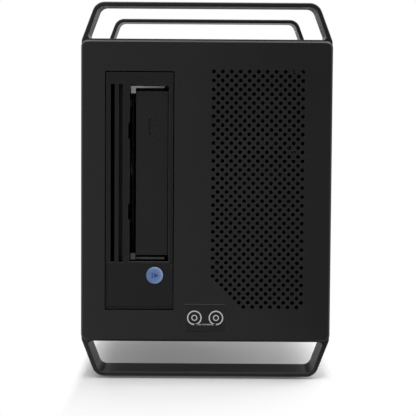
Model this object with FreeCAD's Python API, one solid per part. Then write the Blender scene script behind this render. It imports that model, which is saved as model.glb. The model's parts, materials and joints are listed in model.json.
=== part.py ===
import FreeCAD, Part
import math
import os

# External data tape drive: a half-height cartridge drive stands on its side in
# an aluminium case that hangs between two strap-shaped frames. The frames rise
# above the case as carry handles and reach below it as feet.
# Millimetres. +X right, +Y towards the back, +Z up. The front face looks along -Y.
# The origin is on the floor, under the middle of the bounding box.

V = FreeCAD.Vector
os.makedirs("parts", exist_ok=True)

# ---- driving sizes of the case -------------------------------------------------
case_width = 157.0
case_height = 190.7
foot_drop = 23.85
handle_rise = 22.9
frame_depth = 33.0
frame_spacing = 236.0
frame_wall = 2.7
panel_thick = 4.0
rear_panel_thick = 2.5
sheet = 1.5
fit_gap = 0.1
panel_inset = 1.0
panel_corner = 4.0
button_proud = 0.6
guard_thick = 1.6
screw_head_height = 2.0

half_width = case_width / 2
case_bottom = foot_drop
case_top = case_bottom + case_height
total_height = case_top + handle_rise
# heights on the front face and inside the case are counted from here
layout_z = case_bottom + 0.6

rear_proud = guard_thick + screw_head_height
body_depth = panel_thick + frame_spacing + frame_depth + rear_panel_thick
total_depth = button_proud + body_depth + rear_proud
face_y = -total_depth / 2 + button_proud
frame_y = face_y + panel_thick
rear_frame_y = frame_y + frame_spacing
rear_panel_y = rear_frame_y + frame_depth
back_y = rear_panel_y + rear_panel_thick

# sheet-metal sleeve that fills the frames' middle windows
sleeve_half = half_width - frame_wall - fit_gap
sleeve_top = case_top - frame_wall - fit_gap
sleeve_bottom = case_bottom + frame_wall + fit_gap
window_fillet = 3.5
tray_half = sleeve_half - sheet - 0.05
tray_floor = sleeve_bottom + sheet

# ---- driving sizes of the tape drive, which stands on its side ------------------
bezel_width = 42.4
bezel_height = 148.8
bezel_gap_x = 0.5
bezel_gap_z = 0.7
drive_x = -41.9
drive_z = layout_z + 94.9
drive_thick = 41.4
drive_width = 146.0
drive_length = 197.0
bezel_depth = 8.0
bezel_face_y = face_y + 0.2
drive_y = bezel_face_y + bezel_depth
drive_back_y = drive_y + drive_length
drive_low_x = drive_x - drive_thick / 2
drive_high_x = drive_x + drive_thick / 2
drive_low_z = drive_z - drive_width / 2
drive_high_z = drive_z + drive_width / 2
mid_plate_x = drive_low_x + 5.6
mid_plate_top = mid_plate_x + sheet
cover_thick = 0.8
cover_under_x = drive_high_x - cover_thick

# cartridge, which goes in on its edge: 105.4 x 21.5 x 102
cartridge_wide = 105.4
mouth_low_x = -48.0
mouth_high_x = -23.7
mouth_low_z = layout_z + 50.6
mouth_high_z = layout_z + 161.4
bay_z = (mouth_low_z + mouth_high_z) / 2
bay_low_x = -46.3

# cartridge door
door_low_x = -44.15
door_low_z = layout_z + 54.5
door_high_z = layout_z + 157.4
door_thick = 1.6
door_y = bezel_face_y + 3.5
hinge_x = -23.0
barrel_r = 1.25
hinge_pin_r = 0.6
running = 0.05

# eject button and control panel
button_x = -32.14
button_z = layout_z + 41.83
button_r = 5.25
button_travel = 1.2
button_dish = 0.2
control_low_x = -61.9
control_high_x = -21.85
control_low_z = layout_z + 22.0
control_high_z = layout_z + 49.6

# loader
load_travel = 18.0
drop_travel = 3.0
tray_y = face_y + 26.0
tray_back_y = face_y + 117.0
tray_sheet = 1.0
tray_pin_r = 1.2
tray_pin_x = -40.0
screw_z = layout_z + 36.0
screw_x = -40.0
screw_r = 2.0
screw_lead = 3.0

# tape path
hub_y = face_y + 91.0
reel_y = face_y + 170.0
reel_z = layout_z + 128.0
reel_r = 31.0
tape_low_x = -45.0
tape_high_x = -31.0
head_y = face_y + 173.0
head_z = layout_z + 31.0
roller_r = 5.0
post_r = 1.5

# fan, power supply and interface board
fan_size = 60.0
fan_depth = 25.0
fan_hole_x = 25.0
fan_x = -28.0
fan_z = layout_z + 126.0
psu_low_x = 14.0
psu_high_x = 70.0
psu_top_z = layout_z + 108.0
psu_y = face_y + 104.0
inlet_x = 48.0
inlet_z = layout_z + 34.0
rocker_x = 22.0


# ---- small helpers ---------------------------------------------------------------
def block(x0, x1, y0, y1, z0, z1):
    return Part.makeBox(x1 - x0, y1 - y0, z1 - z0, V(x0, y0, z0))


def rod_x(x0, x1, y, z, r):
    return Part.makeCylinder(r, x1 - x0, V(x0, y, z), V(1, 0, 0))


def rod_y(x, y0, y1, z, r):
    return Part.makeCylinder(r, y1 - y0, V(x, y0, z), V(0, 1, 0))


def rod_z(x, y, z0, z1, r):
    return Part.makeCylinder(r, z1 - z0, V(x, y, z0), V(0, 0, 1))


def join(shapes):
    return shapes[0].multiFuse(shapes[1:]).removeSplitter()


def cut(shape, tools):
    return shape.cut(Part.makeCompound(tools))


def save(name, *shapes):
    shape = shapes[0] if len(shapes) == 1 else Part.makeCompound(list(shapes))
    shape.exportStep("parts/" + name + ".step")


def outline(points, radii, y):
    """Closed wire in the plane Y = y through (x, z) corners, each rounded to its radius."""
    corners = [V(x, y, z) for x, z in points]
    count = len(corners)
    arcs = []
    for i, corner in enumerate(corners):
        back = (corners[i - 1] - corner).normalize()
        ahead = (corners[(i + 1) % count] - corner).normalize()
        half = back.getAngle(ahead) / 2
        reach = radii[i] / math.tan(half)
        middle = (back + ahead).normalize() * (radii[i] / math.sin(half) - radii[i])
        arcs.append((corner + back * reach, corner + middle, corner + ahead * reach))
    edges = []
    for i, (start, middle, end) in enumerate(arcs):
        edges.append(Part.Arc(start, middle, end).toShape())
        follow = arcs[(i + 1) % count][0]
        if (follow - end).Length > 1e-6:
            edges.append(Part.LineSegment(end, follow).toShape())
    return Part.Wire(edges)


def slab(points, radii, y0, y1):
    return Part.Face(outline(points, radii, y0)).extrude(V(0, y1 - y0, 0))


def rounded_block(x0, x1, y0, y1, z0, z1, r):
    return slab([(x0, z0), (x1, z0), (x1, z1), (x0, z1)], [r] * 4, y0, y1)


def chamfer_at_y(shape, y, size):
    """Chamfer every edge that lies in the plane Y = y."""
    edges = [e for e in shape.Edges if abs(e.BoundBox.YMin - y) < 1e-5 and abs(e.BoundBox.YMax - y) < 1e-5]
    return shape.makeChamfer(size, edges)


def placed(shape, position, direction):
    moved = shape.copy()
    moved.Placement = FreeCAD.Placement(position, FreeCAD.Rotation(V(0, 0, 1), direction))
    return moved


def hex_socket(corner_r, z0, z1):
    """Six-sided prism along Z, the hole that a hex key fits."""
    corners = [V(corner_r * math.cos(math.radians(60 * i)), corner_r * math.sin(math.radians(60 * i)), z0)
               for i in range(6)]
    return Part.Face(Part.makePolygon(corners + corners[:1])).extrude(V(0, 0, z1 - z0))


def flat_screw(position, out, length, r=1.5):
    """Countersunk screw with its head flush at position, pointing away from out."""
    head = Part.makeCone(r, 2 * r, r, V(0, 0, -r), V(0, 0, 1))
    shank = Part.makeCylinder(r, length, V(0, 0, -length), V(0, 0, 1))
    screw = head.fuse(shank).removeSplitter().cut(hex_socket(0.75 * r, -0.8 * r, 0.1))
    return placed(screw, position, out)


def flat_screw_hole(position, out, length, r=1.5):
    r = r + running
    head = Part.makeCone(r, 2 * r, r, V(0, 0, -r), V(0, 0, 1))
    shank = Part.makeCylinder(r, length + 0.5, V(0, 0, -length - 0.5), V(0, 0, 1))
    return placed(head.fuse(shank), position, out)


def pan_screw(position, out, length, r=1.5, head=screw_head_height):
    """Pan-head screw whose head stands on the surface at position."""
    cap_r = 1.9 * r
    cap = Part.makeCylinder(cap_r, 0.65 * head, V(0, 0, 0), V(0, 0, 1))
    crown = Part.makeCone(cap_r, cap_r - 0.35 * head, 0.35 * head, V(0, 0, 0.65 * head), V(0, 0, 1))
    shank = Part.makeCylinder(r, length, V(0, 0, -length), V(0, 0, 1))
    screw = cap.multiFuse([crown, shank]).removeSplitter()
    return placed(screw.cut(hex_socket(0.75 * r, 0.4 * head, head + 0.1)), position, out)


def screw_hole(position, out, length, r=1.5):
    bore = Part.makeCylinder(r + running, length + 0.5, V(0, 0, -length - 0.25), V(0, 0, 1))
    return placed(bore, position, out)


def both(values):
    return [(sx, sz) for sx in values for sz in values]


# ---- strap frames: handle above, foot below, middle window round the case --------
bar_half = 69.5
leg_tan = (half_width - bar_half) / (handle_rise + 1.0)
leg_cos = 1 / math.hypot(1, leg_tan)
pad_proud = 1.5
pad_r = 7.0
pad_x = 52.0
pad_sink = pad_proud + 0.3
bar_top = total_height
bar_bottom = pad_proud
edge_break = 0.5
bar_corner = 8.0
shoulder_round = 6.0
web_fillet = 2.0


def leg_x(drop, inset=0.0):
    """Half width of a leg at a distance drop from the bar's outer face."""
    return bar_half + drop * leg_tan - inset / leg_cos


def frame_window(bar_z, web_z, sign):
    """Handle or foot window, between the bar and the case's web."""
    depth = abs(web_z - bar_z)
    narrow = leg_x(frame_wall, frame_wall)
    wide = leg_x(depth, frame_wall)
    low = bar_z - sign * frame_wall
    points = [(-narrow, low), (narrow, low), (wide, web_z), (-wide, web_z)]
    inner_corner = bar_corner - frame_wall
    return points, [inner_corner, inner_corner, web_fillet, web_fillet]


def strap_frame(y0):
    y1 = y0 + frame_depth
    shoulder = handle_rise + 1.0
    low_shoulder = foot_drop - pad_proud + 1.0
    outer = [
        (-bar_half, bar_bottom), (bar_half, bar_bottom),
        (half_width, bar_bottom + low_shoulder), (half_width, bar_top - shoulder),
        (bar_half, bar_top), (-bar_half, bar_top),
        (-half_width, bar_top - shoulder), (-half_width, bar_bottom + low_shoulder),
    ]
    radii = [bar_corner, bar_corner, shoulder_round, shoulder_round] * 2
    frame = slab(outer, radii, y0, y1)
    holes = []
    for bar_z, web_z, sign in ((bar_top, case_top, 1), (bar_bottom, case_bottom, -1)):
        points, corner = frame_window(bar_z, web_z, sign)
        holes.append(slab(points, corner, y0, y1))
    middle = half_width - frame_wall
    holes.append(rounded_block(-middle, middle, y0, y1, case_bottom + frame_wall,
                               case_top - frame_wall, window_fillet))
    frame = cut(frame, holes)
    frame = chamfer_at_y(frame, y0, edge_break)
    frame = chamfer_at_y(frame, y1, edge_break)
    tools = [rod_z(sx * pad_x, y0 + frame_depth / 2, bar_bottom - 1, pad_sink, pad_r + fit_gap)
             for sx in (-1, 1)]
    tools += [flat_screw_hole(*place, side_screw_length - 2.0) for place in side_screw_places(y0)]
    return cut(frame, tools)


block_x = 11.0
block_y = 24.0
block_z = 15.0
block_round = 2.2
side_screw_length = 10.0


def side_screw_places(y0):
    """Countersunk screws through a frame's side walls: (position, outward direction)."""
    z_places = (sleeve_bottom + 13.0, sleeve_top - 14.0)
    return [
        (V(sx * half_width, y0 + frame_depth / 2, z), V(sx, 0, 0))
        for sx in (-1, 1) for z in z_places
    ]


def block_places(y0):
    """(x0, x1, y0, z0, upper) of the four corner blocks inside one frame."""
    places = []
    for sx in (-1, 1):
        for upper in (False, True):
            outer = sleeve_half - sheet - fit_gap if upper else tray_half - sheet - fit_gap
            x0, x1 = sorted((sx * outer, sx * (outer - block_x)))
            z0 = sleeve_top - sheet - fit_gap - block_z if upper else tray_floor + fit_gap
            places.append((x0, x1, y0, z0, upper))
    return places


def panel_screw_place(place):
    x0, x1, y0, z0, upper = place
    return (x0 + x1) / 2, z0 + (block_z - 4.5 if upper else 4.5)


front_block_y = frame_y + 2.0
rear_block_y = rear_panel_y - 2.0 - block_y
front_blocks = block_places(front_block_y)
rear_blocks = block_places(rear_block_y)


def make_frames():
    save("front_frame", strap_frame(frame_y))
    save("rear_frame", strap_frame(rear_frame_y))
    pads = [
        rod_z(sx * pad_x, y0 + frame_depth / 2, 0.0, pad_sink, pad_r)
        for sx in (-1, 1) for y0 in (frame_y, rear_frame_y)
    ]
    save("foot_pads", *pads)
    screws = []
    for y0 in (frame_y, rear_frame_y):
        screws += [flat_screw(*place, side_screw_length) for place in side_screw_places(y0)]
    save("frame_screws", *screws)


def make_corner_blocks():
    blocks = []
    for place in front_blocks + rear_blocks:
        x0, x1, y0, z0, upper = place
        x, z = panel_screw_place(place)
        shape = rounded_block(x0, x1, y0, y0 + block_y, z0, z0 + block_z, block_round)
        shape = shape.cut(rod_y(x, y0 - 1, y0 + block_y + 1, z, 1.5 + running))
        blocks.append(shape)
    holes = []
    for y0 in (frame_y, rear_frame_y):
        holes += [screw_hole(*place, side_screw_length) for place in side_screw_places(y0)]
    save("corner_blocks", *[cut(shape, holes) for shape in blocks])
    screws = []
    for place in rear_blocks:
        x, z = panel_screw_place(place)
        screws.append(pan_screw(V(x, back_y, z), V(0, 1, 0), 14.0))
    save("rear_panel_screws", *screws)


# ---- front and rear panels -------------------------------------------------------
vent_pitch = 5.578
vent_r = 1.25
vent_x = 4.33
vent_top_z = layout_z + 169.98
vent_columns = 21
vent_rows = 54
vent_corner = 46
badge_low_x, badge_high_x = -13.2, 12.9
badge_low_z, badge_high_z = layout_z + 6.5, layout_z + 23.8
badge_thick = 1.3
panel_break = 1.0


def vent_holes(y0, y1):
    """Staggered holes, half a pitch apart, with one lower corner left solid."""
    holes = []
    for column in range(vent_columns):
        for row in range(vent_rows):
            if (column + row) % 2 == 0 and column >= row - vent_corner:
                x = vent_x + column * vent_pitch / 2
                z = vent_top_z - row * vent_pitch / 2
                holes.append(rod_y(x, y0, y1, z, vent_r))
    return holes


def panel_plate(y0, y1):
    return rounded_block(-half_width, half_width, y0, y1, case_bottom + panel_inset,
                         case_top - panel_inset, panel_corner)


def make_front_panel():
    back = face_y + panel_thick
    plate = chamfer_at_y(panel_plate(face_y, back), face_y, panel_break)
    half_x = bezel_width / 2 + bezel_gap_x
    half_z = bezel_height / 2 + bezel_gap_z
    tools = [rounded_block(drive_x - half_x, drive_x + half_x, face_y - 1, back + 1,
                           drive_z - half_z, drive_z + half_z, 0.6)]
    gap = 0.15
    tools.append(rounded_block(badge_low_x - gap, badge_high_x + gap, face_y - 1, face_y + badge_thick - 0.2,
                               badge_low_z - gap, badge_high_z + gap, 0.9))
    tools += vent_holes(face_y - 1, back + 1)
    for place in front_blocks:
        x, z = panel_screw_place(place)
        tools.append(rod_y(x, back - 2.5, back + 1, z, 1.5 + running))
    save("front_panel", cut(plate, tools))
    badge = rounded_block(badge_low_x, badge_high_x, face_y - 0.2, face_y + badge_thick - 0.2,
                          badge_low_z, badge_high_z, 0.75)
    save("badge_plate", chamfer_at_y(badge, face_y - 0.2, 0.2))


port_x = (26.0, 40.0)
display_port_x = 57.0
board_under_z = psu_top_z + 9.0
board_thick = 1.6
port_z = board_under_z + board_thick + 2.5


def stadium_y(x, z, wide, high, y0, y1):
    return rounded_block(x - wide / 2, x + wide / 2, y0, y1, z - high / 2, z + high / 2, high / 2 - 0.01)


def make_rear_panel():
    plate = chamfer_at_y(panel_plate(rear_panel_y, back_y), back_y, 0.8)
    y0, y1 = rear_panel_y - 1, back_y + 1
    tools = [rod_y(fan_x, y0, y1, fan_z, fan_size / 2 - 2.0)]
    for sx, sz in both((-1, 1)):
        tools.append(rod_y(fan_x + sx * fan_hole_x, y0, y1, fan_z + sz * fan_hole_x, 2.0))
    tools.append(block(inlet_x - 14.0, inlet_x + 14.0, y0, y1, inlet_z - 10.2, inlet_z + 10.2))
    tools.append(block(rocker_x - 6.8, rocker_x + 6.8, y0, y1, inlet_z - 9.8, inlet_z + 9.8))
    for x in port_x:
        tools.append(stadium_y(x, port_z, 9.2, 3.5, y0, y1))
    tools.append(block(display_port_x - 8.3, display_port_x + 8.3, y0, y1, port_z - 2.6, port_z + 2.6))
    for column in range(10):
        x = fan_x + (column - 4.5) * 5.0
        tools.append(rounded_block(x - 1.2, x + 1.2, y0, y1, layout_z + 32.0, layout_z + 72.0, 1.19))
    for place in rear_blocks:
        x, z = panel_screw_place(place)
        tools.append(rod_y(x, y0, y1, z, 1.5 + running))
    save("rear_panel", cut(plate, tools))


# ---- cover and base tray ---------------------------------------------------------
tray_flange = 30.0
cover_screw_z = sleeve_bottom + 24.0
tray_screw_ys = [face_y + 75.0 + 62.0 * i for i in range(3)]


def tray_screw_places():
    """Side screws that hold the cover to the tray's flanges between the frames."""
    return [
        (V(sx * sleeve_half, y, cover_screw_z), V(sx, 0, 0))
        for sx in (-1, 1) for y in tray_screw_ys
    ]


def make_sleeve():
    y0, y1 = frame_y + fit_gap, rear_panel_y - fit_gap
    inner = window_fillet - sheet
    outside = rounded_block(-sleeve_half, sleeve_half, y0, y1, sleeve_bottom, sleeve_top,
                            window_fillet + 0.1)
    inside = rounded_block(-sleeve_half + sheet, sleeve_half - sheet, y0, y1, sleeve_bottom + sheet,
                           sleeve_top - sheet, inner + 0.1)
    low_edge = sleeve_bottom + window_fillet + 0.2
    cover = cut(outside, [inside, block(-100, 100, y0 - 1, y1 + 1, sleeve_bottom - 1, low_edge)])
    outside = rounded_block(-tray_half, tray_half, y0, y1, sleeve_bottom, sleeve_bottom + 60, 2.5)
    inside = rounded_block(-tray_half + sheet, tray_half - sheet, y0, y1,
                           tray_floor, sleeve_bottom + 80, 1.0)
    flange_z = sleeve_bottom + tray_flange
    tray = cut(outside, [inside, block(-100, 100, y0 - 1, y1 + 1, flange_z, flange_z + 60)])
    holes = []
    for frame in (frame_y, rear_frame_y):
        holes += [screw_hole(*place, side_screw_length) for place in side_screw_places(frame)]
    holes += [screw_hole(*place, 6.0) for place in tray_screw_places()]
    feet_holes = [screw_hole(*place, 8.0) for place in cage_screw_places() + psu_screw_places()]
    save("wrap_cover", cut(cover, holes))
    save("base_tray", cut(tray, holes + feet_holes))
    save("cover_screws", *[pan_screw(*place, 3.4, 1.5, 1.6) for place in tray_screw_places()])


# ---- cage that carries the tape drive --------------------------------------------
cage_x = drive_high_x + 1.7
cage_foot = 14.0
cage_y = drive_y + 14.0
cage_back_y = drive_back_y - 6.0


def cage_screw_places():
    x = cage_x + sheet + cage_foot / 2
    return [(V(x, y, tray_floor + sheet), V(0, 0, 1)) for y in (cage_y + 20.0, cage_back_y - 20.0)]


def drive_screw_places():
    low = drive_low_z - 0.2 - sheet
    high = drive_high_z + 0.2 + sheet
    places = []
    for y in (cage_y + 18.0, cage_back_y - 40.0):
        places.append((V(drive_x, y, low), V(0, 0, -1)))
        places.append((V(drive_x, y, high), V(0, 0, 1)))
    return places


def make_cage():
    low = drive_low_z - 0.2 - sheet
    high = drive_high_z + 0.2 + sheet
    left = drive_low_x + 6.0
    shapes = [
        block(cage_x, cage_x + sheet, cage_y, cage_back_y, tray_floor, high),
        block(left, cage_x + sheet, cage_y, cage_back_y, high - sheet, high),
        block(left, cage_x + sheet, cage_y, cage_back_y, low, low + sheet),
        block(cage_x, cage_x + sheet + cage_foot, cage_y, cage_back_y, tray_floor, tray_floor + sheet),
    ]
    tools = [screw_hole(*place, 8.0) for place in cage_screw_places() + drive_screw_places()]
    middle_y = (cage_y + cage_back_y) / 2
    for row in range(5):
        z = low + 26.0 + row * 24.0
        for y in (middle_y - 42.0, middle_y, middle_y + 42.0):
            slot = block(cage_x - 1, cage_x + sheet + 1, y - 14, y + 14, z - 2.5, z + 2.5)
            tools.append(slot)
    save("drive_cage", cut(join(shapes), tools))


# ---- tape drive: casing -----------------------------------------------------------
connector_low_z = drive_low_z + 12.0
connector_high_z = drive_low_z + 56.0
cover_screw_r = 1.0


def drive_cover_screw_places():
    z_places = (drive_low_z + 4.0, drive_high_z - 4.0)
    y_places = (drive_y + 4.5, drive_back_y - 10.0)
    return [(V(drive_high_x, y, z), V(1, 0, 0)) for y in y_places for z in z_places]


def cover_post(place, x1):
    """Post that a cover screw bites into, against the nearer side wall."""
    near, far = 3.9, 2.8
    low, high = (near, far) if place.z < drive_z else (far, near)
    return block(mid_plate_x, x1, place.y - 3.5, place.y + 3.5, place.z - low, place.z + high)


def make_drive_casing():
    wall = sheet
    x0, x1 = drive_low_x + cover_thick, cover_under_x
    shapes = [
        block(x0, x1, drive_y, drive_back_y, drive_low_z, drive_low_z + wall),
        block(x0, x1, drive_y, drive_back_y, drive_high_z - wall, drive_high_z),
        block(x0, x1, drive_back_y - wall, drive_back_y, drive_low_z, drive_high_z),
        block(mid_plate_x, mid_plate_top, drive_y, drive_back_y, drive_low_z, drive_high_z),
    ]
    for place, out in drive_cover_screw_places():
        shapes.append(cover_post(place, x1))
    bearing_y = face_y + 100.0
    shapes.append(block(mid_plate_x, screw_x + 5.0, bearing_y, bearing_y + 6.0,
                        screw_z - 5.0, screw_z + 5.0))
    for y in (drive_y + 12.0, drive_back_y - 16.0):
        for z in (drive_low_z + 12.0, drive_high_z - 12.0):
            shapes.append(rod_x(logic_board_x + board_thick, mid_plate_x + 0.5, y, z, 2.5))
    tools = [screw_hole(place, out, 9.0, cover_screw_r) for place, out in drive_cover_screw_places()]
    tools += [screw_hole(*place, 8.0) for place in drive_screw_places()]
    tools.append(rod_y(screw_x, bearing_y - 1, bearing_y + 7, screw_z, screw_r + running))
    tools.append(block(drive_low_x, mid_plate_x, drive_back_y - 5, drive_back_y + 1,
                       connector_low_z - 0.3, connector_high_z + 0.3))
    for row in range(8):
        z = bay_z - 35.0 + row * 11.0
        tools.append(block(mid_plate_top + 4, x1 - 5, drive_back_y - 5, drive_back_y + 1, z - 3.0, z + 3.0))
    save("drive_chassis", cut(join(shapes), tools))
    lid = block(cover_under_x, drive_high_x, drive_y, drive_back_y, drive_low_z, drive_high_z)
    lid = join([lid, block(drive_high_x - 9.0, drive_high_x, drive_back_y + fit_gap,
                           drive_back_y + fit_gap + cover_thick, drive_low_z + 4, drive_high_z - 4),
                block(cover_under_x, drive_high_x, drive_back_y - 1, drive_back_y + fit_gap + cover_thick,
                      drive_low_z + 4, drive_high_z - 4)])
    save("drive_cover", cut(lid, [screw_hole(place, out, 9.0, cover_screw_r)
                                  for place, out in drive_cover_screw_places()]))
    save("drive_cover_screws", *[pan_screw(place, out, 8.0, cover_screw_r, 0.9)
                                 for place, out in drive_cover_screw_places()])
    save("drive_base_cover", block(drive_low_x, drive_low_x + cover_thick, drive_y, drive_back_y,
                                   drive_low_z, drive_high_z))


logic_board_x = drive_low_x + 2.4


def make_logic_board():
    board = block(logic_board_x, logic_board_x + board_thick, drive_y + 6.0, drive_back_y - 4.0,
                  drive_low_z + 3.0, drive_high_z - 3.0)
    top = logic_board_x + board_thick
    chips = [(40, 40, 22), (90, 60, 18), (84, 104, 14), (140, 46, 16), (150, 110, 20), (40, 110, 12)]
    shapes = [board]
    for along, across, side in chips:
        shapes.append(block(top, top + 1.0, drive_y + along, drive_y + along + side,
                            drive_low_z + across - side / 2, drive_low_z + across + side / 2))
    save("logic_board", join(shapes))
    plug = block(logic_board_x + board_thick + 0.02, mid_plate_x - 0.1,
                 drive_back_y - 4.5, drive_back_y + 0.8, connector_low_z, connector_high_z)
    body = block(drive_low_x + cover_thick + 0.1, mid_plate_x - 0.1, drive_back_y - 3.9, drive_back_y + 0.8,
                 connector_low_z, connector_high_z)
    slot_x = (drive_low_x + cover_thick + mid_plate_x) / 2
    tongue_hole = block(slot_x - 1.1, slot_x + 1.1, drive_back_y - 2.4, drive_back_y + 1,
                        connector_low_z + 3, connector_high_z - 3)
    save("drive_connector", plug.fuse(body).removeSplitter().cut(tongue_hole))


# ---- tape drive: front ------------------------------------------------------------
slot_centres = (-58.68, -53.63)
slot_width = 2.55
slot_break = 0.25
mouth_break = 0.4
slot_low_z = layout_z + 50.1
slot_high_z = layout_z + 161.8
guide_wall_x = -51.2


def flared(x0, x1, z0, z1, y, flare):
    """Tool that breaks the front edges of an opening in the plane Y = y."""
    wires = []
    for grow, depth in ((flare, 0.0), (0.0, flare)):
        corners = [V(x0 - grow, y + depth, z0 - grow), V(x1 + grow, y + depth, z0 - grow),
                   V(x1 + grow, y + depth, z1 + grow), V(x0 - grow, y + depth, z1 + grow)]
        wires.append(Part.makePolygon(corners + corners[:1]))
    return Part.makeLoft(wires, True)


def make_bezel():
    x0, x1 = drive_x - bezel_width / 2, drive_x + bezel_width / 2
    z0, z1 = drive_z - bezel_height / 2, drive_z + bezel_height / 2
    wall = 0.8
    face = 2.0
    y0, y1 = bezel_face_y, bezel_face_y + bezel_depth - fit_gap
    shell = rounded_block(x0, x1, y0, y1, z0, z1, 0.5)
    shell = chamfer_at_y(shell, y0, 0.3)
    tools = [block(x0 + wall, x1 - wall, y0 + face, y1 + 1, z0 + wall, z1 - wall)]
    for x in slot_centres:
        slot_x0, slot_x1 = x - slot_width / 2, x + slot_width / 2
        tools.append(block(slot_x0, slot_x1, y0 - 1, y0 + face + 1, slot_low_z, slot_high_z))
        tools.append(flared(slot_x0, slot_x1, slot_low_z, slot_high_z, y0, slot_break))
    tools.append(block(mouth_low_x, mouth_high_x, y0 - 1, y0 + face + 1, mouth_low_z, mouth_high_z))
    tools.append(flared(mouth_low_x, mouth_high_x, mouth_low_z, mouth_high_z, y0, mouth_break))
    for low, high in ((127.5, 137.5), (76.9, 87.0)):
        tools.append(block(mouth_low_x - 1.0, mouth_low_x + 1, y0 - 1, y0 + face + 1,
                           layout_z + low, layout_z + high))
    tools.append(block(control_low_x - 0.3, control_high_x + 0.3, y0 - 1, y0 + face + 1,
                       control_low_z - 0.3, control_high_z))
    tools.append(block(x0 - 1, control_low_x + 0.05, y0 - 1, y0 + 1.2, z0 - 1, control_high_z))
    tools.append(block(control_high_x - 0.05, x1 + 1, y0 - 1, y0 + 1.2, z0 - 1, control_high_z))
    tools.append(block(x0 - 1, x1 + 1, y0 - 1, y0 + 1.2, z0 - 1, control_low_z + 0.05))
    ears = []
    for z_low, z_high in ((door_low_z - 3.6, door_low_z - 0.4), (door_high_z + 0.4, door_high_z + 3.6)):
        ears.append(block(hinge_x - 0.6, x1 - 0.4, y0 + face - 0.2, door_y + 1.6, z_low, z_high))
    shell = cut(shell, tools)
    baffle = block(x0 + wall / 2, guide_wall_x - 0.3, y1 - 1.0, y1, slot_low_z - 2.0, slot_high_z + 2.0)
    shell = join([shell, baffle] + ears)
    pin_hole = rod_z(hinge_x, door_y, door_low_z - 3.0, door_high_z + 3.0, hinge_pin_r + running)
    save("drive_bezel", shell.cut(pin_hole))
    save("door_pin", rod_z(hinge_x, door_y, door_low_z - 2.9, door_high_z + 2.9, hinge_pin_r))


spring_low_z = door_low_z + 44.0
spring_high_z = door_low_z + 58.0


def coil(radius, wire_r, pitch, height):
    """Helical wire round +Z from the origin, swept as a solid."""
    helix = Part.makeHelix(pitch, height, radius)
    start = helix.Edges[0].valueAt(helix.Edges[0].FirstParameter)
    along = helix.Edges[0].tangentAt(helix.Edges[0].FirstParameter)
    section = Part.Wire([Part.makeCircle(wire_r, start, along)])
    return Part.Wire(helix.Edges).makePipeShell([section], True, True)


def make_door():
    y0, y1 = door_y - door_thick / 2, door_y + door_thick / 2
    leaf = block(door_low_x, hinge_x, y0, y1, door_low_z, door_high_z)
    barrel = rod_z(hinge_x, door_y, door_low_z, door_high_z, barrel_r)
    door = join([leaf, barrel])
    gap = block(hinge_x - 3.2, hinge_x + 3.0, y0 - 1, y1 + 3, spring_low_z, spring_high_z)
    bore = rod_z(hinge_x, door_y, door_low_z - 1, door_high_z + 1, hinge_pin_r + running)
    front_skin = block(door_low_x, hinge_x - 1.3, y0, y0 + 0.5, door_low_z, door_high_z)
    door = join([cut(door, [gap]), front_skin]).cut(bore)
    save("cartridge_door", door)
    turns = coil(1.0, 0.2, 0.9, spring_high_z - spring_low_z - 2.0)
    turns.translate(V(hinge_x, door_y, spring_low_z + 1.0))
    save("door_spring", turns)


def make_control_panel():
    y0 = bezel_face_y + 0.1
    y1 = bezel_face_y + 2.2
    bow = 1.1
    height = control_high_z - control_low_z - 0.1
    radius = height * height / (2 * bow)
    solid = block(control_low_x, control_high_x, y0, y1, control_low_z, control_high_z - 0.1)
    roller = rod_x(control_low_x - 1, control_high_x + 1, y0 + radius, control_high_z - 0.1, radius)
    solid = solid.common(roller)
    solid = join([solid, rod_y(button_x, y1 - 0.2, y1 + 4.0, button_z, 4.2)])
    tools = [rod_y(button_x, y0 - 1, y1 + 0.4, button_z, button_r + 0.15),
             rod_y(button_x, y1, y1 + 6.0, button_z, 1.8 + running)]
    solid = solid.cut(tools[1]).cut(tools[0])
    rim = rod_y(button_x, y1 + 0.4, y1 + 1.4, button_z, button_r + 1.0)
    rim = rim.cut(rod_y(button_x, y1 - 1, y1 + 3.0, button_z, 1.8 + running))
    collar = rod_y(button_x, y1 - 0.2, y1 + 0.6, button_z, button_r + 1.0)
    collar = collar.cut(rod_y(button_x, y1 - 1, y1 + 1.0, button_z, button_r + 0.15))
    save("control_panel", join([solid, collar, rim]))
    cap_front = face_y - button_proud
    cap_back = y1 + 0.4 - button_travel - 0.35
    cap = rod_y(button_x, cap_front, cap_back, button_z, button_r)
    cap = chamfer_at_y(cap, cap_front, 0.3)
    cap = cap.cut(rod_y(button_x, cap_front - 1, cap_front + button_dish, button_z, button_r - 0.9))
    stem = rod_y(button_x, cap_back - 0.1, y1 + 9.0, button_z, 1.8)
    save("eject_button", join([cap, stem]))
    board_y = y1 + 9.0 + button_travel + 1.0
    board = block(mid_plate_top + 0.2, drive_x + 17.0, board_y, board_y + 1.2,
                  control_low_z + 8.0, control_high_z - 3.0)
    switch = block(button_x - 4.0, button_x + 4.0, y1 + 6.0, board_y, button_z - 4.0, button_z + 4.0)
    switch = switch.cut(rod_y(button_x, y1 + 5.0, board_y - 0.6, button_z, 1.8 + running))
    save("control_board", join([board, switch]))


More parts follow.
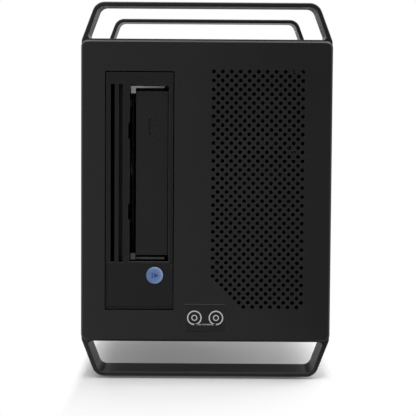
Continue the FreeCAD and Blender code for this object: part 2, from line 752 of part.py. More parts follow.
def make_guide():
    """Bright metal lead-in frame behind the mouth, seen round the closed door."""
    y0, y1 = bezel_face_y + 2.1, bezel_face_y + 20.0
    joint_y = drive_y + 0.3
    x0 = mouth_low_x + 0.6
    x1 = door_low_x + 17.75
    low_z, high_z = mouth_low_z + 1.0, mouth_high_z - 0.8
    shapes = [
        block(x0, x1, y0, y1, high_z - 1.2, high_z),
        block(x0, door_low_x - 0.3, y0, y1, high_z - 4.5, high_z),
        block(x0, x1, y0 + 3.0, y1, low_z, low_z + 1.2),
        block(x0, door_low_x - 0.3, y0, y1, low_z, low_z + 4.0),
        block(guide_wall_x, x0 + 0.1, joint_y, y1, high_z - 1.2, high_z),
        block(guide_wall_x, x0 + 0.1, joint_y, y1, low_z, low_z + 1.2),
        block(guide_wall_x, guide_wall_x + 0.8, joint_y, y1, low_z, high_z),
    ]
    bolts = [block(mid_plate_top, guide_wall_x + 0.4, y1 - 6.0, y1, z, z + 5.0)
             for z in (low_z + 4.4, high_z - 9.4)]
    save("cartridge_guide", join(shapes + bolts))


# ---- tape drive: loader -----------------------------------------------------------
tray_low_z = bay_z - cartridge_wide / 2 - 0.1
tray_high_z = bay_z + cartridge_wide / 2 + 0.1
tray_top_x = bay_low_x - 0.3
rail_gap = 1.9
rail_thick = 1.5
rail_low_z = tray_low_z - 0.8 - rail_gap - rail_thick
rail_high_z = tray_high_z + 0.8 + rail_gap
pin_y_places = (tray_y + 24.0, tray_y + 74.0)
slider_low_z = rail_low_z - 1.0 - rail_thick


def make_loader():
    floor = block(tray_top_x - tray_sheet, tray_top_x, tray_y, tray_back_y,
                  tray_low_z - 0.8, tray_high_z + 0.8)
    flanges = [block(tray_top_x - tray_sheet, -26.0, tray_y, tray_back_y, z, z + 0.8)
               for z in (tray_low_z - 0.8, tray_high_z)]
    hub_reach = 19.0
    low_y = hub_y - load_travel
    slot = join([
        rod_x(tray_top_x - 5, tray_top_x + 5, low_y, bay_z, hub_reach),
        rod_x(tray_top_x - 5, tray_top_x + 5, hub_y, bay_z, hub_reach),
        block(tray_top_x - 5, tray_top_x + 5, low_y, hub_y, bay_z - hub_reach, bay_z + hub_reach),
    ])
    pins = []
    for y in pin_y_places:
        pins.append(rod_z(tray_pin_x, y, slider_low_z - 0.6, tray_low_z - 0.1, tray_pin_r))
        pins.append(rod_z(tray_pin_x, y, tray_high_z + 0.1, rail_high_z + rail_thick + 0.8, tray_pin_r))
    save("loader_tray", join([floor.cut(slot)] + flanges + pins))

    room = 0.4
    windows = []
    for y in pin_y_places:
        windows.append(block(tray_pin_x - drop_travel - tray_pin_r - room, tray_pin_x + tray_pin_r + room,
                             y - tray_pin_r - room, y + load_travel + tray_pin_r + room,
                             rail_low_z - 1, rail_high_z + rail_thick + 1))
    rails = [cut(block(mid_plate_top, -28.0, tray_y + 5.0, face_y + 134.0, z, z + rail_thick), windows)
             for z in (rail_low_z, rail_high_z)]
    save("loader_rails", *rails)

    nut_y = tray_y + 36.0
    plate = block(tray_pin_x - 8.0, tray_pin_x + 8.0, pin_y_places[0] - 6.0, pin_y_places[1] + 6.0,
                  slider_low_z, slider_low_z + rail_thick)
    nut = block(screw_x - 6.0, screw_x + 6.0, nut_y, nut_y + 10.0, screw_z - 6.0, slider_low_z + 0.5)
    tools = [rod_y(screw_x, nut_y - 1, nut_y + 11, screw_z, screw_r + running)]
    for y in pin_y_places:
        tools.append(block(tray_pin_x - drop_travel - tray_pin_r - room, tray_pin_x + tray_pin_r + room,
                           y - tray_pin_r - 0.1, y + tray_pin_r + 0.1, slider_low_z - 1, slider_low_z + 3))
    save("loader_slider", cut(join([plate, nut]), tools))

    screw_start = face_y + 43.0
    screw = rod_y(screw_x, screw_start - 6.0, face_y + 108.0, screw_z, screw_r)
    grooves = []
    y = screw_start + 2.0
    while y < face_y + 98.0:
        core = rod_y(screw_x, y - 1, y + 2, screw_z, screw_r - 0.3)
        grooves.append(rod_y(screw_x, y, y + 0.8, screw_z, screw_r + 1).cut(core))
        y += screw_lead
    save("loader_screw", cut(screw, grooves))
    motor_y = face_y + 17.0
    motor = rod_y(screw_x, motor_y, screw_start - 2.0, screw_z, 9.6)
    saddle = block(mid_plate_top, screw_x - 4.0, motor_y + 4.0, screw_start - 8.0,
                   screw_z - 7.0, screw_z + 7.0)
    bore = rod_y(screw_x, screw_start - 6.5, screw_start, screw_z, screw_r + running)
    save("loader_motor", join([motor, saddle]).cut(bore))


# ---- tape drive: reel motors, head and rollers ------------------------------------
def make_reels():
    motor_top = mid_plate_top + 4.3
    motor = rod_x(mid_plate_top, motor_top, hub_y, bay_z, 20.0)
    hub_motor = motor.cut(rod_x(mid_plate_top + 0.5, motor_top + 1, hub_y, bay_z, 3.0 + running))
    hub = join([
        rod_x(mid_plate_top + 0.8, motor_top + 0.4, hub_y, bay_z, 3.0),
        rod_x(motor_top + 0.3, motor_top + 1.9, hub_y, bay_z, 16.0),
    ])
    teeth = []
    for i in range(24):
        tooth = block(motor_top + 1.4, motor_top + 3.0, hub_y + 12.0, hub_y + 15.0, bay_z - 0.7, bay_z + 0.7)
        tooth.rotate(V(0, hub_y, bay_z), V(1, 0, 0), i * 15.0)
        teeth.append(tooth)
    save("drive_hub", hub.cut(Part.makeCompound(teeth)))

    base = tape_low_x - 1.4
    motor = rod_x(mid_plate_top, base - 0.5, reel_y, reel_z, 18.0)
    bore = rod_x(mid_plate_top + 0.5, base + 1, reel_y, reel_z, 3.0 + running)
    save("reel_motors", hub_motor, motor.cut(bore))
    reel = join([
        rod_x(mid_plate_top + 0.8, base + 0.5, reel_y, reel_z, 3.0),
        rod_x(base, base + 1.2, reel_y, reel_z, reel_r),
        rod_x(base + 1.0, tape_high_x + 0.4, reel_y, reel_z, 21.0),
        rod_x(tape_high_x + 0.2, tape_high_x + 1.4, reel_y, reel_z, reel_r),
    ])
    windows = []
    for i in range(6):
        hole = rod_x(tape_high_x - 4.0, tape_high_x + 3, reel_y + 13.0, reel_z, 4.5)
        hole.rotate(V(0, reel_y, reel_z), V(1, 0, 0), i * 60.0)
        windows.append(hole)
    save("take_up_reel", cut(reel, windows))


roller_places = (
    (face_y + 146.0, layout_z + 46.0),
    (head_y - 14.0, head_z + 5.4),
    (head_y + 14.0, head_z + 5.4),
    (face_y + 197.0, layout_z + 51.0),
)
head_post_z = head_z + 21.0
head_magnet_z = head_z + 31.0


def make_tape_path():
    posts = [rod_x(mid_plate_top, tape_high_x + 2.5, y, z, post_r) for y, z in roller_places]
    posts += [rod_x(mid_plate_top, cover_under_x - 1.0, head_y + side * 6.0, head_post_z, post_r)
              for side in (-1, 1)]
    save("guide_posts", *posts)
    for number, (y, z) in enumerate(roller_places, 1):
        roller = join([
            rod_x(tape_low_x, tape_high_x, y, z, roller_r),
            rod_x(tape_low_x - 0.8, tape_low_x + 0.1, y, z, roller_r + 0.9),
            rod_x(tape_high_x - 0.1, tape_high_x + 0.8, y, z, roller_r + 0.9),
        ])
        bore = rod_x(tape_low_x - 2, tape_high_x + 2, y, z, post_r + running)
        save("tape_roller_" + str(number), roller.cut(bore))
    save("head_magnet", join([
        rod_x(mid_plate_top, cover_under_x - 2.0, head_y, head_magnet_z, 3.6),
        rod_x(mid_plate_top, mid_plate_top + 2.0, head_y, head_magnet_z, 9.0),
    ]))
    carriage = join([
        block(tape_low_x, tape_high_x, head_y - 9.0, head_y + 9.0, head_post_z - 4.0, head_post_z + 4.0),
        block(tape_low_x, tape_high_x, head_y - 5.0, head_y + 5.0, head_z + 7.0, head_post_z),
        rod_x(tape_low_x, tape_high_x - 3.0, head_y, head_magnet_z, 8.0),
    ])
    tools = [rod_x(tape_low_x - 1, tape_high_x + 1, head_y + side * 6.0, head_post_z, post_r + running)
             for side in (-1, 1)]
    tools.append(rod_x(tape_low_x - 1, tape_high_x + 1, head_y, head_magnet_z, 4.2))
    save("head_carriage", cut(carriage, tools))
    tip = block(tape_low_x, tape_high_x, head_y - 3.5, head_y + 3.5, head_z + 1.0, head_z + 7.0)
    crowns = [rod_x(tape_low_x, tape_high_x, head_y + side * 2.0, head_z + 1.4, 1.4) for side in (-1, 1)]
    save("head_block", join([tip] + crowns))


# ---- power supply, inlet and switch -----------------------------------------------
psu_wall = 1.2


def psu_screw_places():
    x, z = psu_low_x - 4.5, tray_floor + psu_wall
    return [(V(x, psu_y + along, z), V(0, 0, 1)) for along in (20.0, 110.0)]


def make_power():
    wall = psu_wall
    y1 = rear_panel_y - 27.0
    z0 = tray_floor
    case = block(psu_low_x, psu_high_x, psu_y, y1, z0, psu_top_z - wall)
    case = case.cut(block(psu_low_x + wall, psu_high_x - wall, psu_y + wall, y1 - wall,
                          z0 + wall, psu_top_z + 1))
    case = join([case, block(psu_low_x - 9.0, psu_low_x + 0.5, psu_y + 8.0, y1 - 20.0, z0, z0 + wall)])
    tools = [screw_hole(*place, 8.0) for place in psu_screw_places()]
    for row in range(9):
        for column in range(12):
            y = psu_y + 14.0 + column * 9.0
            z = z0 + 14.0 + row * 9.0
            tools.append(rod_x(psu_low_x - 1, psu_low_x + wall + 1, y, z, 2.6))
    for row in range(9):
        for column in range(5):
            x = psu_low_x + 10.0 + column * 9.0
            z = z0 + 14.0 + row * 9.0
            tools.append(rod_y(x, psu_y - 1, psu_y + wall + 1, z, 2.6))
    tools.append(block(inlet_x - 30.0, inlet_x + 16.0, y1 - wall - 1, y1 + 1, inlet_z - 8.0, inlet_z + 8.0))
    save("psu_case", cut(case, tools))
    lid = block(psu_low_x, psu_high_x, psu_y, y1, psu_top_z - wall, psu_top_z)
    save("psu_lid", cut(lid, [rod_z(x, y, psu_top_z - 3, psu_top_z + 1, 1.5 + running)
                              for x, y in standoff_places()]))
    board_z = z0 + 8.0
    parts = [block(psu_low_x + 3.0, psu_high_x - 3.0, psu_y + 4.0, y1 - 4.0, board_z, board_z + board_thick)]
    top = board_z + board_thick - 0.1
    parts.append(block(psu_low_x + 13.0, psu_low_x + 43.0, psu_y + 46.0, psu_y + 82.0, top, top + 30.0))
    parts.append(block(psu_low_x + 6.0, psu_low_x + 9.0, psu_y + 12.0, psu_y + 100.0, top, top + 44.0))
    parts.append(block(psu_high_x - 9.0, psu_high_x - 6.0, psu_y + 12.0, psu_y + 90.0, top, top + 44.0))
    capacitors = ((20, 18, 8, 30), (38, 18, 8, 30), (18, 36, 5, 20), (38, 37, 5, 20), (28, 98, 10, 34))
    for x, y, r, tall in capacitors:
        parts.append(rod_z(psu_low_x + x, psu_y + y, top, top + tall, r))
    for x, y in ((7.0, 8.0), (49.0, 8.0), (7.0, 114.0), (49.0, 114.0)):
        parts.append(rod_z(psu_low_x + x, psu_y + y, z0 + wall, board_z + 0.1, 2.5))
    save("psu_board", join(parts))

    make_inlet()
    make_rocker()


def inlet_mouth(y0, y1):
    """Inlet opening: a rectangle with its two upper corners cut off."""
    w, h, bevel = 12.0, 8.2, 4.0
    points = [
        (inlet_x - w, inlet_z - h), (inlet_x + w, inlet_z - h),
        (inlet_x + w, inlet_z + h - bevel), (inlet_x + w - bevel, inlet_z + h),
        (inlet_x - w + bevel, inlet_z + h), (inlet_x - w, inlet_z + h - bevel),
    ]
    return slab(points, [1.2] * 6, y0, y1)


inlet_lip = 1.5


def make_inlet():
    """Mains inlet and switch housing in one moulding behind one flange."""
    pivot_y = back_y - 1.5
    switch_y = rear_panel_y - 12.0
    shape = join([
        block(inlet_x - 13.8, inlet_x + 13.8, rear_panel_y - 20.0, back_y + 0.5,
              inlet_z - 10.0, inlet_z + 10.0),
        block(rocker_x - 6.6, rocker_x + 6.6, switch_y, back_y + 0.5, inlet_z - 9.6, inlet_z + 9.6),
        rounded_block(rocker_x - 8.0, inlet_x + 15.5, back_y, back_y + inlet_lip,
                      inlet_z - 12.0, inlet_z + 12.0, 1.5),
    ])
    well = block(rocker_x - 5.2, rocker_x + 5.2, switch_y + 2.0, back_y + 3, inlet_z - 8.6, inlet_z + 8.6)
    axle = rod_x(rocker_x - 6.0, rocker_x + 6.0, pivot_y, inlet_z, 1.0 + running)
    shape = cut(shape, [inlet_mouth(back_y - 17.0, back_y + 3.0), well, axle])
    pins, holes = [], []
    for x, z in ((-7.0, -1.5), (7.0, -1.5), (0.0, 2.2)):
        centre_x, centre_z = inlet_x + x, inlet_z + z
        span = (centre_x - 1.0, centre_x + 1.0)
        rise = (centre_z - 2.0, centre_z + 2.0)
        pins.append(block(*span, rear_panel_y - 23.0, back_y - 1.5, *rise))
        holes.append(block(*span, rear_panel_y - 25.0, back_y, *rise))
    save("power_inlet", cut(shape, holes))
    save("inlet_pins", *pins)


rocker_tilt = 12.0


def make_rocker():
    pivot_y = back_y - 1.5
    cap_r = 40.0
    key = rod_x(rocker_x - 4.9, rocker_x + 4.9, pivot_y, inlet_z, 8.0)
    dish = rod_x(rocker_x - 7, rocker_x + 7, pivot_y + 3.0 + cap_r, inlet_z, cap_r)
    belly = block(rocker_x - 7, rocker_x + 7, pivot_y - 10, pivot_y - 3.0, inlet_z - 20, inlet_z + 20)
    key = key.cut(dish).cut(belly)
    pivots = rod_x(rocker_x - 5.8, rocker_x + 5.8, pivot_y, inlet_z, 1.0)
    key = join([key, pivots])
    key.rotate(V(rocker_x, pivot_y, inlet_z), V(1, 0, 0), -rocker_tilt / 2)
    save("power_rocker", key)


# ---- interface board ---------------------------------------------------------------
def standoff_places():
    return [(x, rear_panel_y - inward)
            for x in (psu_low_x + 6.0, psu_high_x - 6.0) for inward in (108.0, 30.0)]


def make_interface():
    y0, y1 = rear_panel_y - 114.0, rear_panel_y - 1.0
    top = board_under_z + board_thick
    board = block(psu_low_x + 1.0, psu_high_x - 1.0, y0, y1, board_under_z, top)
    holes = [rod_z(x, y, board_under_z - 1, top + 1, 1.5 + running) for x, y in standoff_places()]
    shapes = [cut(board, holes)]
    for x, y, side, tall in ((30.0, 40.0, 21.0, 1.6), (24.0, 74.0, 14.0, 1.4), (48.0, 66.0, 10.0, 1.2)):
        shapes.append(block(psu_low_x + x - side / 2, psu_low_x + x + side / 2, y0 + y - side / 2,
                            y0 + y + side / 2, top - 0.1, top + tall))
    shapes.append(block(psu_low_x + 12.0, psu_low_x + 38.0, y0 + 3.0, y0 + 12.0, top - 0.1, top + 7.0))
    save("interface_board", join(shapes))
    posts = []
    for x, y in standoff_places():
        post = rod_z(x, y, psu_top_z, board_under_z, 3.0)
        posts.append(post.cut(rod_z(x, y, psu_top_z - 1, board_under_z + 1, 1.5 + running)))
    save("board_standoffs", *posts)
    ports = []
    for x in port_x:
        shell = stadium_y(x, port_z, 9.0, 3.3, back_y - 8.0, back_y - 0.2)
        shell = shell.cut(stadium_y(x, port_z, 8.4, 2.7, back_y - 7.0, back_y + 1))
        tongue = block(x - 3.3, x + 3.3, back_y - 7.5, back_y - 1.4, port_z - 0.35, port_z + 0.35)
        foot = block(x - 4.0, x + 4.0, back_y - 8.0, back_y - 4.0, top, port_z - 1.4)
        ports.append(join([shell, tongue, foot]))
    x = display_port_x
    shell = block(x - 8.2, x + 8.2, back_y - 12.0, back_y - 0.2, port_z - 2.5, port_z + 2.5)
    shell = shell.cut(block(x - 7.6, x + 7.6, back_y - 11.0, back_y + 1, port_z - 1.9, port_z + 1.9))
    tongue = block(x - 5.6, x + 5.6, back_y - 11.5, back_y - 2.0, port_z - 0.5, port_z + 0.5)
    save("data_ports", *ports, join([shell, tongue]))


def make_inside_screws():
    """Pan-head screws that nothing outside shows: panel, cage, drive, supply and board."""
    screws = []
    for place in front_blocks:
        x, z = panel_screw_place(place)
        screws.append(pan_screw(V(x, front_block_y + block_y, z), V(0, 1, 0), block_y + 4.0))
    screws += [pan_screw(*place, 3.0) for place in cage_screw_places()]
    screws += [pan_screw(*place, 3.2) for place in drive_screw_places()]
    screws += [pan_screw(*place, 2.7) for place in psu_screw_places()]
    top = board_under_z + board_thick
    for x, y in standoff_places():
        screws.append(pan_screw(V(x, y, top), V(0, 0, 1), top - psu_top_z + psu_wall))
    save("inside_screws", *screws)


# ---- fan ---------------------------------------------------------------------------
def make_fan():
    y1 = rear_panel_y - fit_gap
    y0 = y1 - fan_depth
    half = fan_size / 2
    ring_r = half - 2.0
    frame = rounded_block(fan_x - half, fan_x + half, y0, y1, fan_z - half, fan_z + half, 4.0)
    frame = frame.cut(rod_y(fan_x, y0 - 1, y1 + 1, fan_z, ring_r))
    outer = half + 1
    waist = rounded_block(fan_x - outer, fan_x + outer, y0 + 4.0, y1 - 4.0,
                          fan_z - outer, fan_z + outer, 0.5)
    frame = frame.cut(waist.cut(rod_y(fan_x, y0, y1, fan_z, ring_r + 1.6)))
    hub_r = 0.43 * ring_r + 1.0
    arms = [rod_y(fan_x, y0, y0 + 4.0, fan_z, hub_r)]
    for i in range(4):
        arm = block(fan_x - 1.5, fan_x + 1.5, y0, y0 + 3.0, fan_z + hub_r - 1.0, fan_z + ring_r + 0.8)
        arm.rotate(V(fan_x, 0, fan_z), V(0, 1, 0), 45.0 + i * 90.0)
        arms.append(arm)
    frame = join([frame] + arms)
    corner = fan_hole_x
    holes = [rod_y(fan_x + sx * corner, y0 - 1, y1 + 1, fan_z + sz * corner, 2.0)
             for sx, sz in both((-1, 1))]
    holes.append(rod_y(fan_x, y0 - 1, y1 + 1, fan_z, 2.0 + running))
    save("fan_frame", cut(frame, holes))

    cup = rod_y(fan_x, y0 + 5.0, y1 - 2.0, fan_z, hub_r)
    blades = []
    for i in range(7):
        blade = block(fan_x - 0.7, fan_x + 0.7, y0 + 5.5, y1 - 2.5,
                      fan_z + hub_r - 1.5, fan_z + ring_r - 0.9)
        middle = V(fan_x, (y0 + y1) / 2 + 1.5, fan_z)
        blade.rotate(middle, V(0, 0, 1), 42.0)
        blade.rotate(V(fan_x, 0, fan_z), V(0, 1, 0), i * 360.0 / 7)
        blades.append(blade)
    envelope = rod_y(fan_x, y0 + 5.0, y1 - 2.0, fan_z, ring_r - 0.8)
    shaft = rod_y(fan_x, y0 + 0.5, y0 + 6.0, fan_z, 2.0)
    save("fan_rotor", join([join([cup] + blades).common(envelope), shaft]))

    y2 = back_y + guard_thick
    bar = 1.8
    guard_rings = [(ring_r - 1.0) * i / 4 for i in (1, 2, 3, 4)]
    rings = [
        rod_y(fan_x, back_y, y2, fan_z, r + bar / 2).cut(rod_y(fan_x, back_y - 1, y2 + 1, fan_z, r - bar / 2))
        for r in guard_rings
    ]
    spokes = []
    reach = math.hypot(corner, corner)
    for i in range(4):
        spoke = block(fan_x - bar / 2, fan_x + bar / 2, back_y, y2, fan_z + guard_rings[0], fan_z + reach)
        pair = spoke.fuse(rod_y(fan_x, back_y, y2, fan_z + reach, 4.2))
        pair.rotate(V(fan_x, 0, fan_z), V(0, 1, 0), 45.0 + i * 90.0)
        spokes.append(pair)
    guard = join(rings + spokes)
    save("fan_guard", cut(guard, [rod_y(fan_x + sx * corner, back_y - 1, y2 + 1, fan_z + sz * corner, 2.0)
                                  for sx, sz in both((-1, 1))]))
    save("fan_screws", *[pan_screw(V(fan_x + sx * corner, back_y + guard_thick, fan_z + sz * corner),
                                   V(0, 1, 0), 14.0, 1.9) for sx, sz in both((-1, 1))])


# ---- cables inside the case ----------------------------------------------------------
def cable(points, r):
    """Round cable along straight runs joined by tangent arcs."""
    path = []
    start = points[0]
    for before, corner, after in zip(points, points[1:], points[2:]):
        back = (before - corner)
        ahead = (after - corner)
        shorter = min(back.Length, ahead.Length)
        half = back.getAngle(ahead) / 2
        reach = 0.45 * shorter
        bend = reach * math.tan(half)
        back, ahead = back.normalize(), ahead.normalize()
        middle = (back + ahead).normalize() * (bend / math.sin(half) - bend)
        path.append(Part.LineSegment(start, corner + back * reach).toShape())
        path.append(Part.Arc(corner + back * reach, corner + middle, corner + ahead * reach).toShape())
        start = corner + ahead * reach
    path.append(Part.LineSegment(start, points[-1]).toShape())
    wire = Part.Wire(path)
    section = Part.Wire([Part.makeCircle(r, points[0], points[1] - points[0])])
    return wire.makePipeShell([section], True, True)


def make_cables():
    plug_y = drive_back_y + 0.9
    x = (drive_low_x + cover_thick + mid_plate_x) / 2
    data_z = connector_low_z + 32.0
    power_z = connector_low_z + 10.0
    socket_y = rear_panel_y - 114.0
    socket_z = board_under_z + board_thick + 3.5
    data = [
        V(x, plug_y + 8.0, data_z), V(x, plug_y + 24.0, data_z), V(x + 22.0, plug_y + 30.0, data_z + 2.0),
        V(-12.0, plug_y + 22.0, data_z - 4.0), V(-8.0, plug_y - 4.0, socket_z - 30.0),
        V(-8.0, socket_y - 16.0, socket_z - 4.0), V(psu_low_x + 12.0, socket_y - 22.0, socket_z),
        V(psu_low_x + 21.0, socket_y - 4.0, socket_z),
    ]
    data.append(V(psu_low_x + 21.0, socket_y + 2.9, socket_z))
    save("data_cable", cable(data, 2.2))
    power = [
        V(x, plug_y + 8.0, power_z), V(x, plug_y + 20.0, power_z), V(x + 18.0, plug_y + 26.0, power_z - 4.0),
        V(-16.0, plug_y + 22.0, power_z - 8.0), V(psu_low_x - 0.05, plug_y + 22.0, power_z - 8.0),
    ]
    save("power_cable", cable(power, 2.4))
    plugs = [
        block(x - 2.1, x + 2.1, plug_y, plug_y + 8.0, data_z - 9.0, data_z + 9.0),
        block(x - 2.1, x + 2.1, plug_y, plug_y + 8.0, power_z - 9.0, power_z + 9.0),
    ]
    save("cable_plugs", *plugs)


make_frames()
make_corner_blocks()
make_front_panel()
make_rear_panel()
make_sleeve()
make_cage()
make_drive_casing()
make_logic_board()
make_bezel()
make_door()
make_control_panel()
make_guide()
make_loader()
make_reels()
make_tape_path()
make_power()
make_interface()
make_inside_screws()
make_fan()
make_cables()
print("case", case_width, "x", round(total_depth, 2), "x", round(total_height, 2), "mm")
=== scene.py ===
# Data tape drive: a half-height cartridge drive stood on edge in a black case
# that hangs between two strap frames, each a carry handle above and a foot below.
import json
import math

import bpy
from mathutils import Euler, Matrix, Vector


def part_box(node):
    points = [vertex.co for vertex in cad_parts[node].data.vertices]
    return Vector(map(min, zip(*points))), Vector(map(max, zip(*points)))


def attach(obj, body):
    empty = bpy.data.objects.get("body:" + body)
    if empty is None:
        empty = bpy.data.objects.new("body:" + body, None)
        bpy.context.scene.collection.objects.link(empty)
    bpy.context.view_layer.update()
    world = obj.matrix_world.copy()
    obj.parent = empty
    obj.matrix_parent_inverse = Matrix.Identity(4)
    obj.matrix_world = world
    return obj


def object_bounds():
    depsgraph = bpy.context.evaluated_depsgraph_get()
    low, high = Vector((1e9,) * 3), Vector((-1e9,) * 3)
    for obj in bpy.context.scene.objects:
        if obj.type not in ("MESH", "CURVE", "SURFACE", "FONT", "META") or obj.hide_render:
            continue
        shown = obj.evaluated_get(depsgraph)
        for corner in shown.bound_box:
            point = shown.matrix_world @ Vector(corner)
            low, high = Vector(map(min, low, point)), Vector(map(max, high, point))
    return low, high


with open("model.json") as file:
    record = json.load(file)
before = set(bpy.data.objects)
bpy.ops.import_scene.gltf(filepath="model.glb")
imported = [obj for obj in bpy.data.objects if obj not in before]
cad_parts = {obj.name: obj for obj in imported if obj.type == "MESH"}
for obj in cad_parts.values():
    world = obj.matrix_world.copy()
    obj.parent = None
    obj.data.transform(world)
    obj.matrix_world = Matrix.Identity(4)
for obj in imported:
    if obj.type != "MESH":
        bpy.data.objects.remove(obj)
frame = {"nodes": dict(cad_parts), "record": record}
cadLow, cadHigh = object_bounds()
nodes = frame["nodes"]
slotOf = {part["node"]: part["material_slot"] for part in frame["record"]["subparts"]}
jointPlace = {joint["name"]: joint.get("pos_m") for joint in frame["record"]["behaviour"]["joints"]}
print("frame loaded:", len(nodes), "nodes")


# node building
def addNode(tree, kind, x, y, **settings):
    node = tree.nodes.new(kind)
    node.location = (x, y)
    for name, value in settings.items():
        setattr(node, name, value)
    return node


def feed(tree, value, socket):
    # links a socket, or sets a constant on the input itself
    if isinstance(value, bpy.types.NodeSocket):
        tree.links.new(value, socket)
    elif isinstance(value, tuple) and socket.type == "RGBA":
        socket.default_value = (*value, 1.0)
    elif value is not None:
        socket.default_value = value


def newGroup(name, inputs, outputs):
    tree = bpy.data.node_groups.new(name, "ShaderNodeTree")
    for label, kind, value in inputs:
        socket = tree.interface.new_socket(label, in_out="INPUT", socket_type=kind)
        if value is not None:
            socket.default_value = value
    for label, kind in outputs:
        tree.interface.new_socket(label, in_out="OUTPUT", socket_type=kind)
    start = addNode(tree, "NodeGroupInput", -1000, 0)
    end = addNode(tree, "NodeGroupOutput", 700, 0)
    return tree, start.outputs, end.inputs


def addMath(tree, what, x, y, a, b=None, c=None, clamp=False):
    node = addNode(tree, "ShaderNodeMath", x, y, operation=what, use_clamp=clamp)
    for socket, value in zip(node.inputs, (a, b, c)):
        feed(tree, value, socket)
    return node.outputs[0]


def addNoise(tree, x, y, vector, scale, detail, rough):
    node = addNode(tree, "ShaderNodeTexNoise", x, y)
    feed(tree, vector, node.inputs["Vector"])
    feed(tree, scale, node.inputs["Scale"])
    feed(tree, detail, node.inputs["Detail"])
    feed(tree, rough, node.inputs["Roughness"])
    return node.outputs["Fac"]


def addRange(tree, x, y, value, fromLow, fromHigh, toLow=0.0, toHigh=1.0):
    node = addNode(tree, "ShaderNodeMapRange", x, y)
    feed(tree, value, node.inputs["Value"])
    feed(tree, fromLow, node.inputs["From Min"])
    feed(tree, fromHigh, node.inputs["From Max"])
    feed(tree, toLow, node.inputs["To Min"])
    feed(tree, toHigh, node.inputs["To Max"])
    return node.outputs[0]


def addMix(tree, x, y, share, a, b):
    node = addNode(tree, "ShaderNodeMix", x, y, data_type="RGBA")
    feed(tree, share, node.inputs[0])
    feed(tree, a, node.inputs[6])
    feed(tree, b, node.inputs[7])
    return node.outputs[2]


def addVector(tree, what, x, y, a, b=None):
    node = addNode(tree, "ShaderNodeVectorMath", x, y, operation=what)
    feed(tree, a, node.inputs[0])
    if b is not None:
        feed(tree, b, node.inputs[1])
    return node.outputs["Value"] if what in ("DOT_PRODUCT", "LENGTH") else node.outputs["Vector"]


def addSplit(tree, x, y, vector):
    node = addNode(tree, "ShaderNodeSeparateXYZ", x, y)
    feed(tree, vector, node.inputs[0])
    return node.outputs


def useGroup(tree, group, x, y, **inputs):
    node = addNode(tree, "ShaderNodeGroup", x, y, node_tree=group)
    for label, value in inputs.items():
        feed(tree, value, node.inputs[label])
    return node.outputs


# effects that several finishes share
grainNoise = {"finer": 2.7, "detail": 2.0, "rough": 0.6, "coarseShare": 0.6, "fineShare": 0.4,
              "speckFrom": 0.58, "speckTo": 0.72}


def makeFineGrain():
    # two sizes of noise: the height of a blasted, coated or moulded surface
    tree, given, out = newGroup(
        "fineGrain",
        [("Vector", "NodeSocketVector", None), ("Size", "NodeSocketFloat", 0.0005)],
        [("Height", "NodeSocketFloat"), ("Speck", "NodeSocketFloat")])
    detail, rough = grainNoise["detail"], grainNoise["rough"]
    scale = addMath(tree, "DIVIDE", -800, -160, 1.0, given["Size"])
    finer = addMath(tree, "MULTIPLY", -620, -260, scale, grainNoise["finer"])
    coarse = addNoise(tree, -420, 80, given["Vector"], scale, detail, rough)
    fine = addNoise(tree, -420, -200, given["Vector"], finer, detail, rough)
    little = addMath(tree, "MULTIPLY", -300, -80, fine, grainNoise["fineShare"])
    both = addMath(tree, "MULTIPLY_ADD", -160, 20, coarse, grainNoise["coarseShare"], little)
    feed(tree, both, out["Height"])
    feed(tree, addRange(tree, -160, -240, fine, grainNoise["speckFrom"], grainNoise["speckTo"]), out["Speck"])
    return tree


mottleNoise = {"detail": 4.0, "rough": 0.6, "from": 0.32, "to": 0.68}


def makeMottle():
    # slow change of tone over a surface, from uneven dye, coat or handling
    tree, given, out = newGroup(
        "mottle",
        [("Vector", "NodeSocketVector", None), ("Size", "NodeSocketFloat", 0.03)],
        [("Mask", "NodeSocketFloat")])
    scale = addMath(tree, "DIVIDE", -800, -160, 1.0, given["Size"])
    cloud = addNoise(tree, -500, 0, given["Vector"], scale, mottleNoise["detail"], mottleNoise["rough"])
    feed(tree, addRange(tree, -200, 0, cloud, mottleNoise["from"], mottleNoise["to"]), out["Mask"])
    return tree


edgeWearAndHighlightNoise = {"samples": 4, "flat": 0.985, "sharp": 0.86, "scale": 260.0, "detail": 4.0, "rough": 0.65,
             "from": 0.35, "to": 0.62}


def makeEdgeWearAndHighlight():
    # picks out corners, where a coat is thin and handling polishes it; the same mask lays a painted highlight
    # along edges, for the light they catch
    tree, given, out = newGroup(
        "edgeWearAndHighlight",
        [("Vector", "NodeSocketVector", None), ("Radius", "NodeSocketFloat", 0.0004),
         ("Breakup", "NodeSocketFloat", 0.5)],
        [("Mask", "NodeSocketFloat")])
    rounded = addNode(tree, "ShaderNodeBevel", -760, 120, samples=edgeWearAndHighlightNoise["samples"])
    feed(tree, given["Radius"], rounded.inputs["Radius"])
    true = addNode(tree, "ShaderNodeNewGeometry", -760, -60).outputs["Normal"]
    alike = addVector(tree, "DOT_PRODUCT", -540, 60, rounded.outputs["Normal"], true)
    corner = addRange(tree, -340, 60, alike, edgeWearAndHighlightNoise["flat"], edgeWearAndHighlightNoise["sharp"])
    patch = addNoise(tree, -540, -200, given["Vector"], edgeWearAndHighlightNoise["scale"], edgeWearAndHighlightNoise["detail"],
                     edgeWearAndHighlightNoise["rough"])
    broken = addRange(tree, -340, -200, patch, edgeWearAndHighlightNoise["from"], edgeWearAndHighlightNoise["to"])
    kept = addMath(tree, "SUBTRACT", -160, -120, 1.0, given["Breakup"])
    share = addMath(tree, "MULTIPLY_ADD", 0, -160, broken, given["Breakup"], kept)
    feed(tree, addMath(tree, "MULTIPLY", 200, 0, corner, share, clamp=True), out["Mask"])
    return tree


lineNoise = {"detail": 3.0, "rough": 0.7, "slower": 0.12, "slowDetail": 2.0, "slowRough": 0.5,
             "from": 0.35, "to": 0.65}


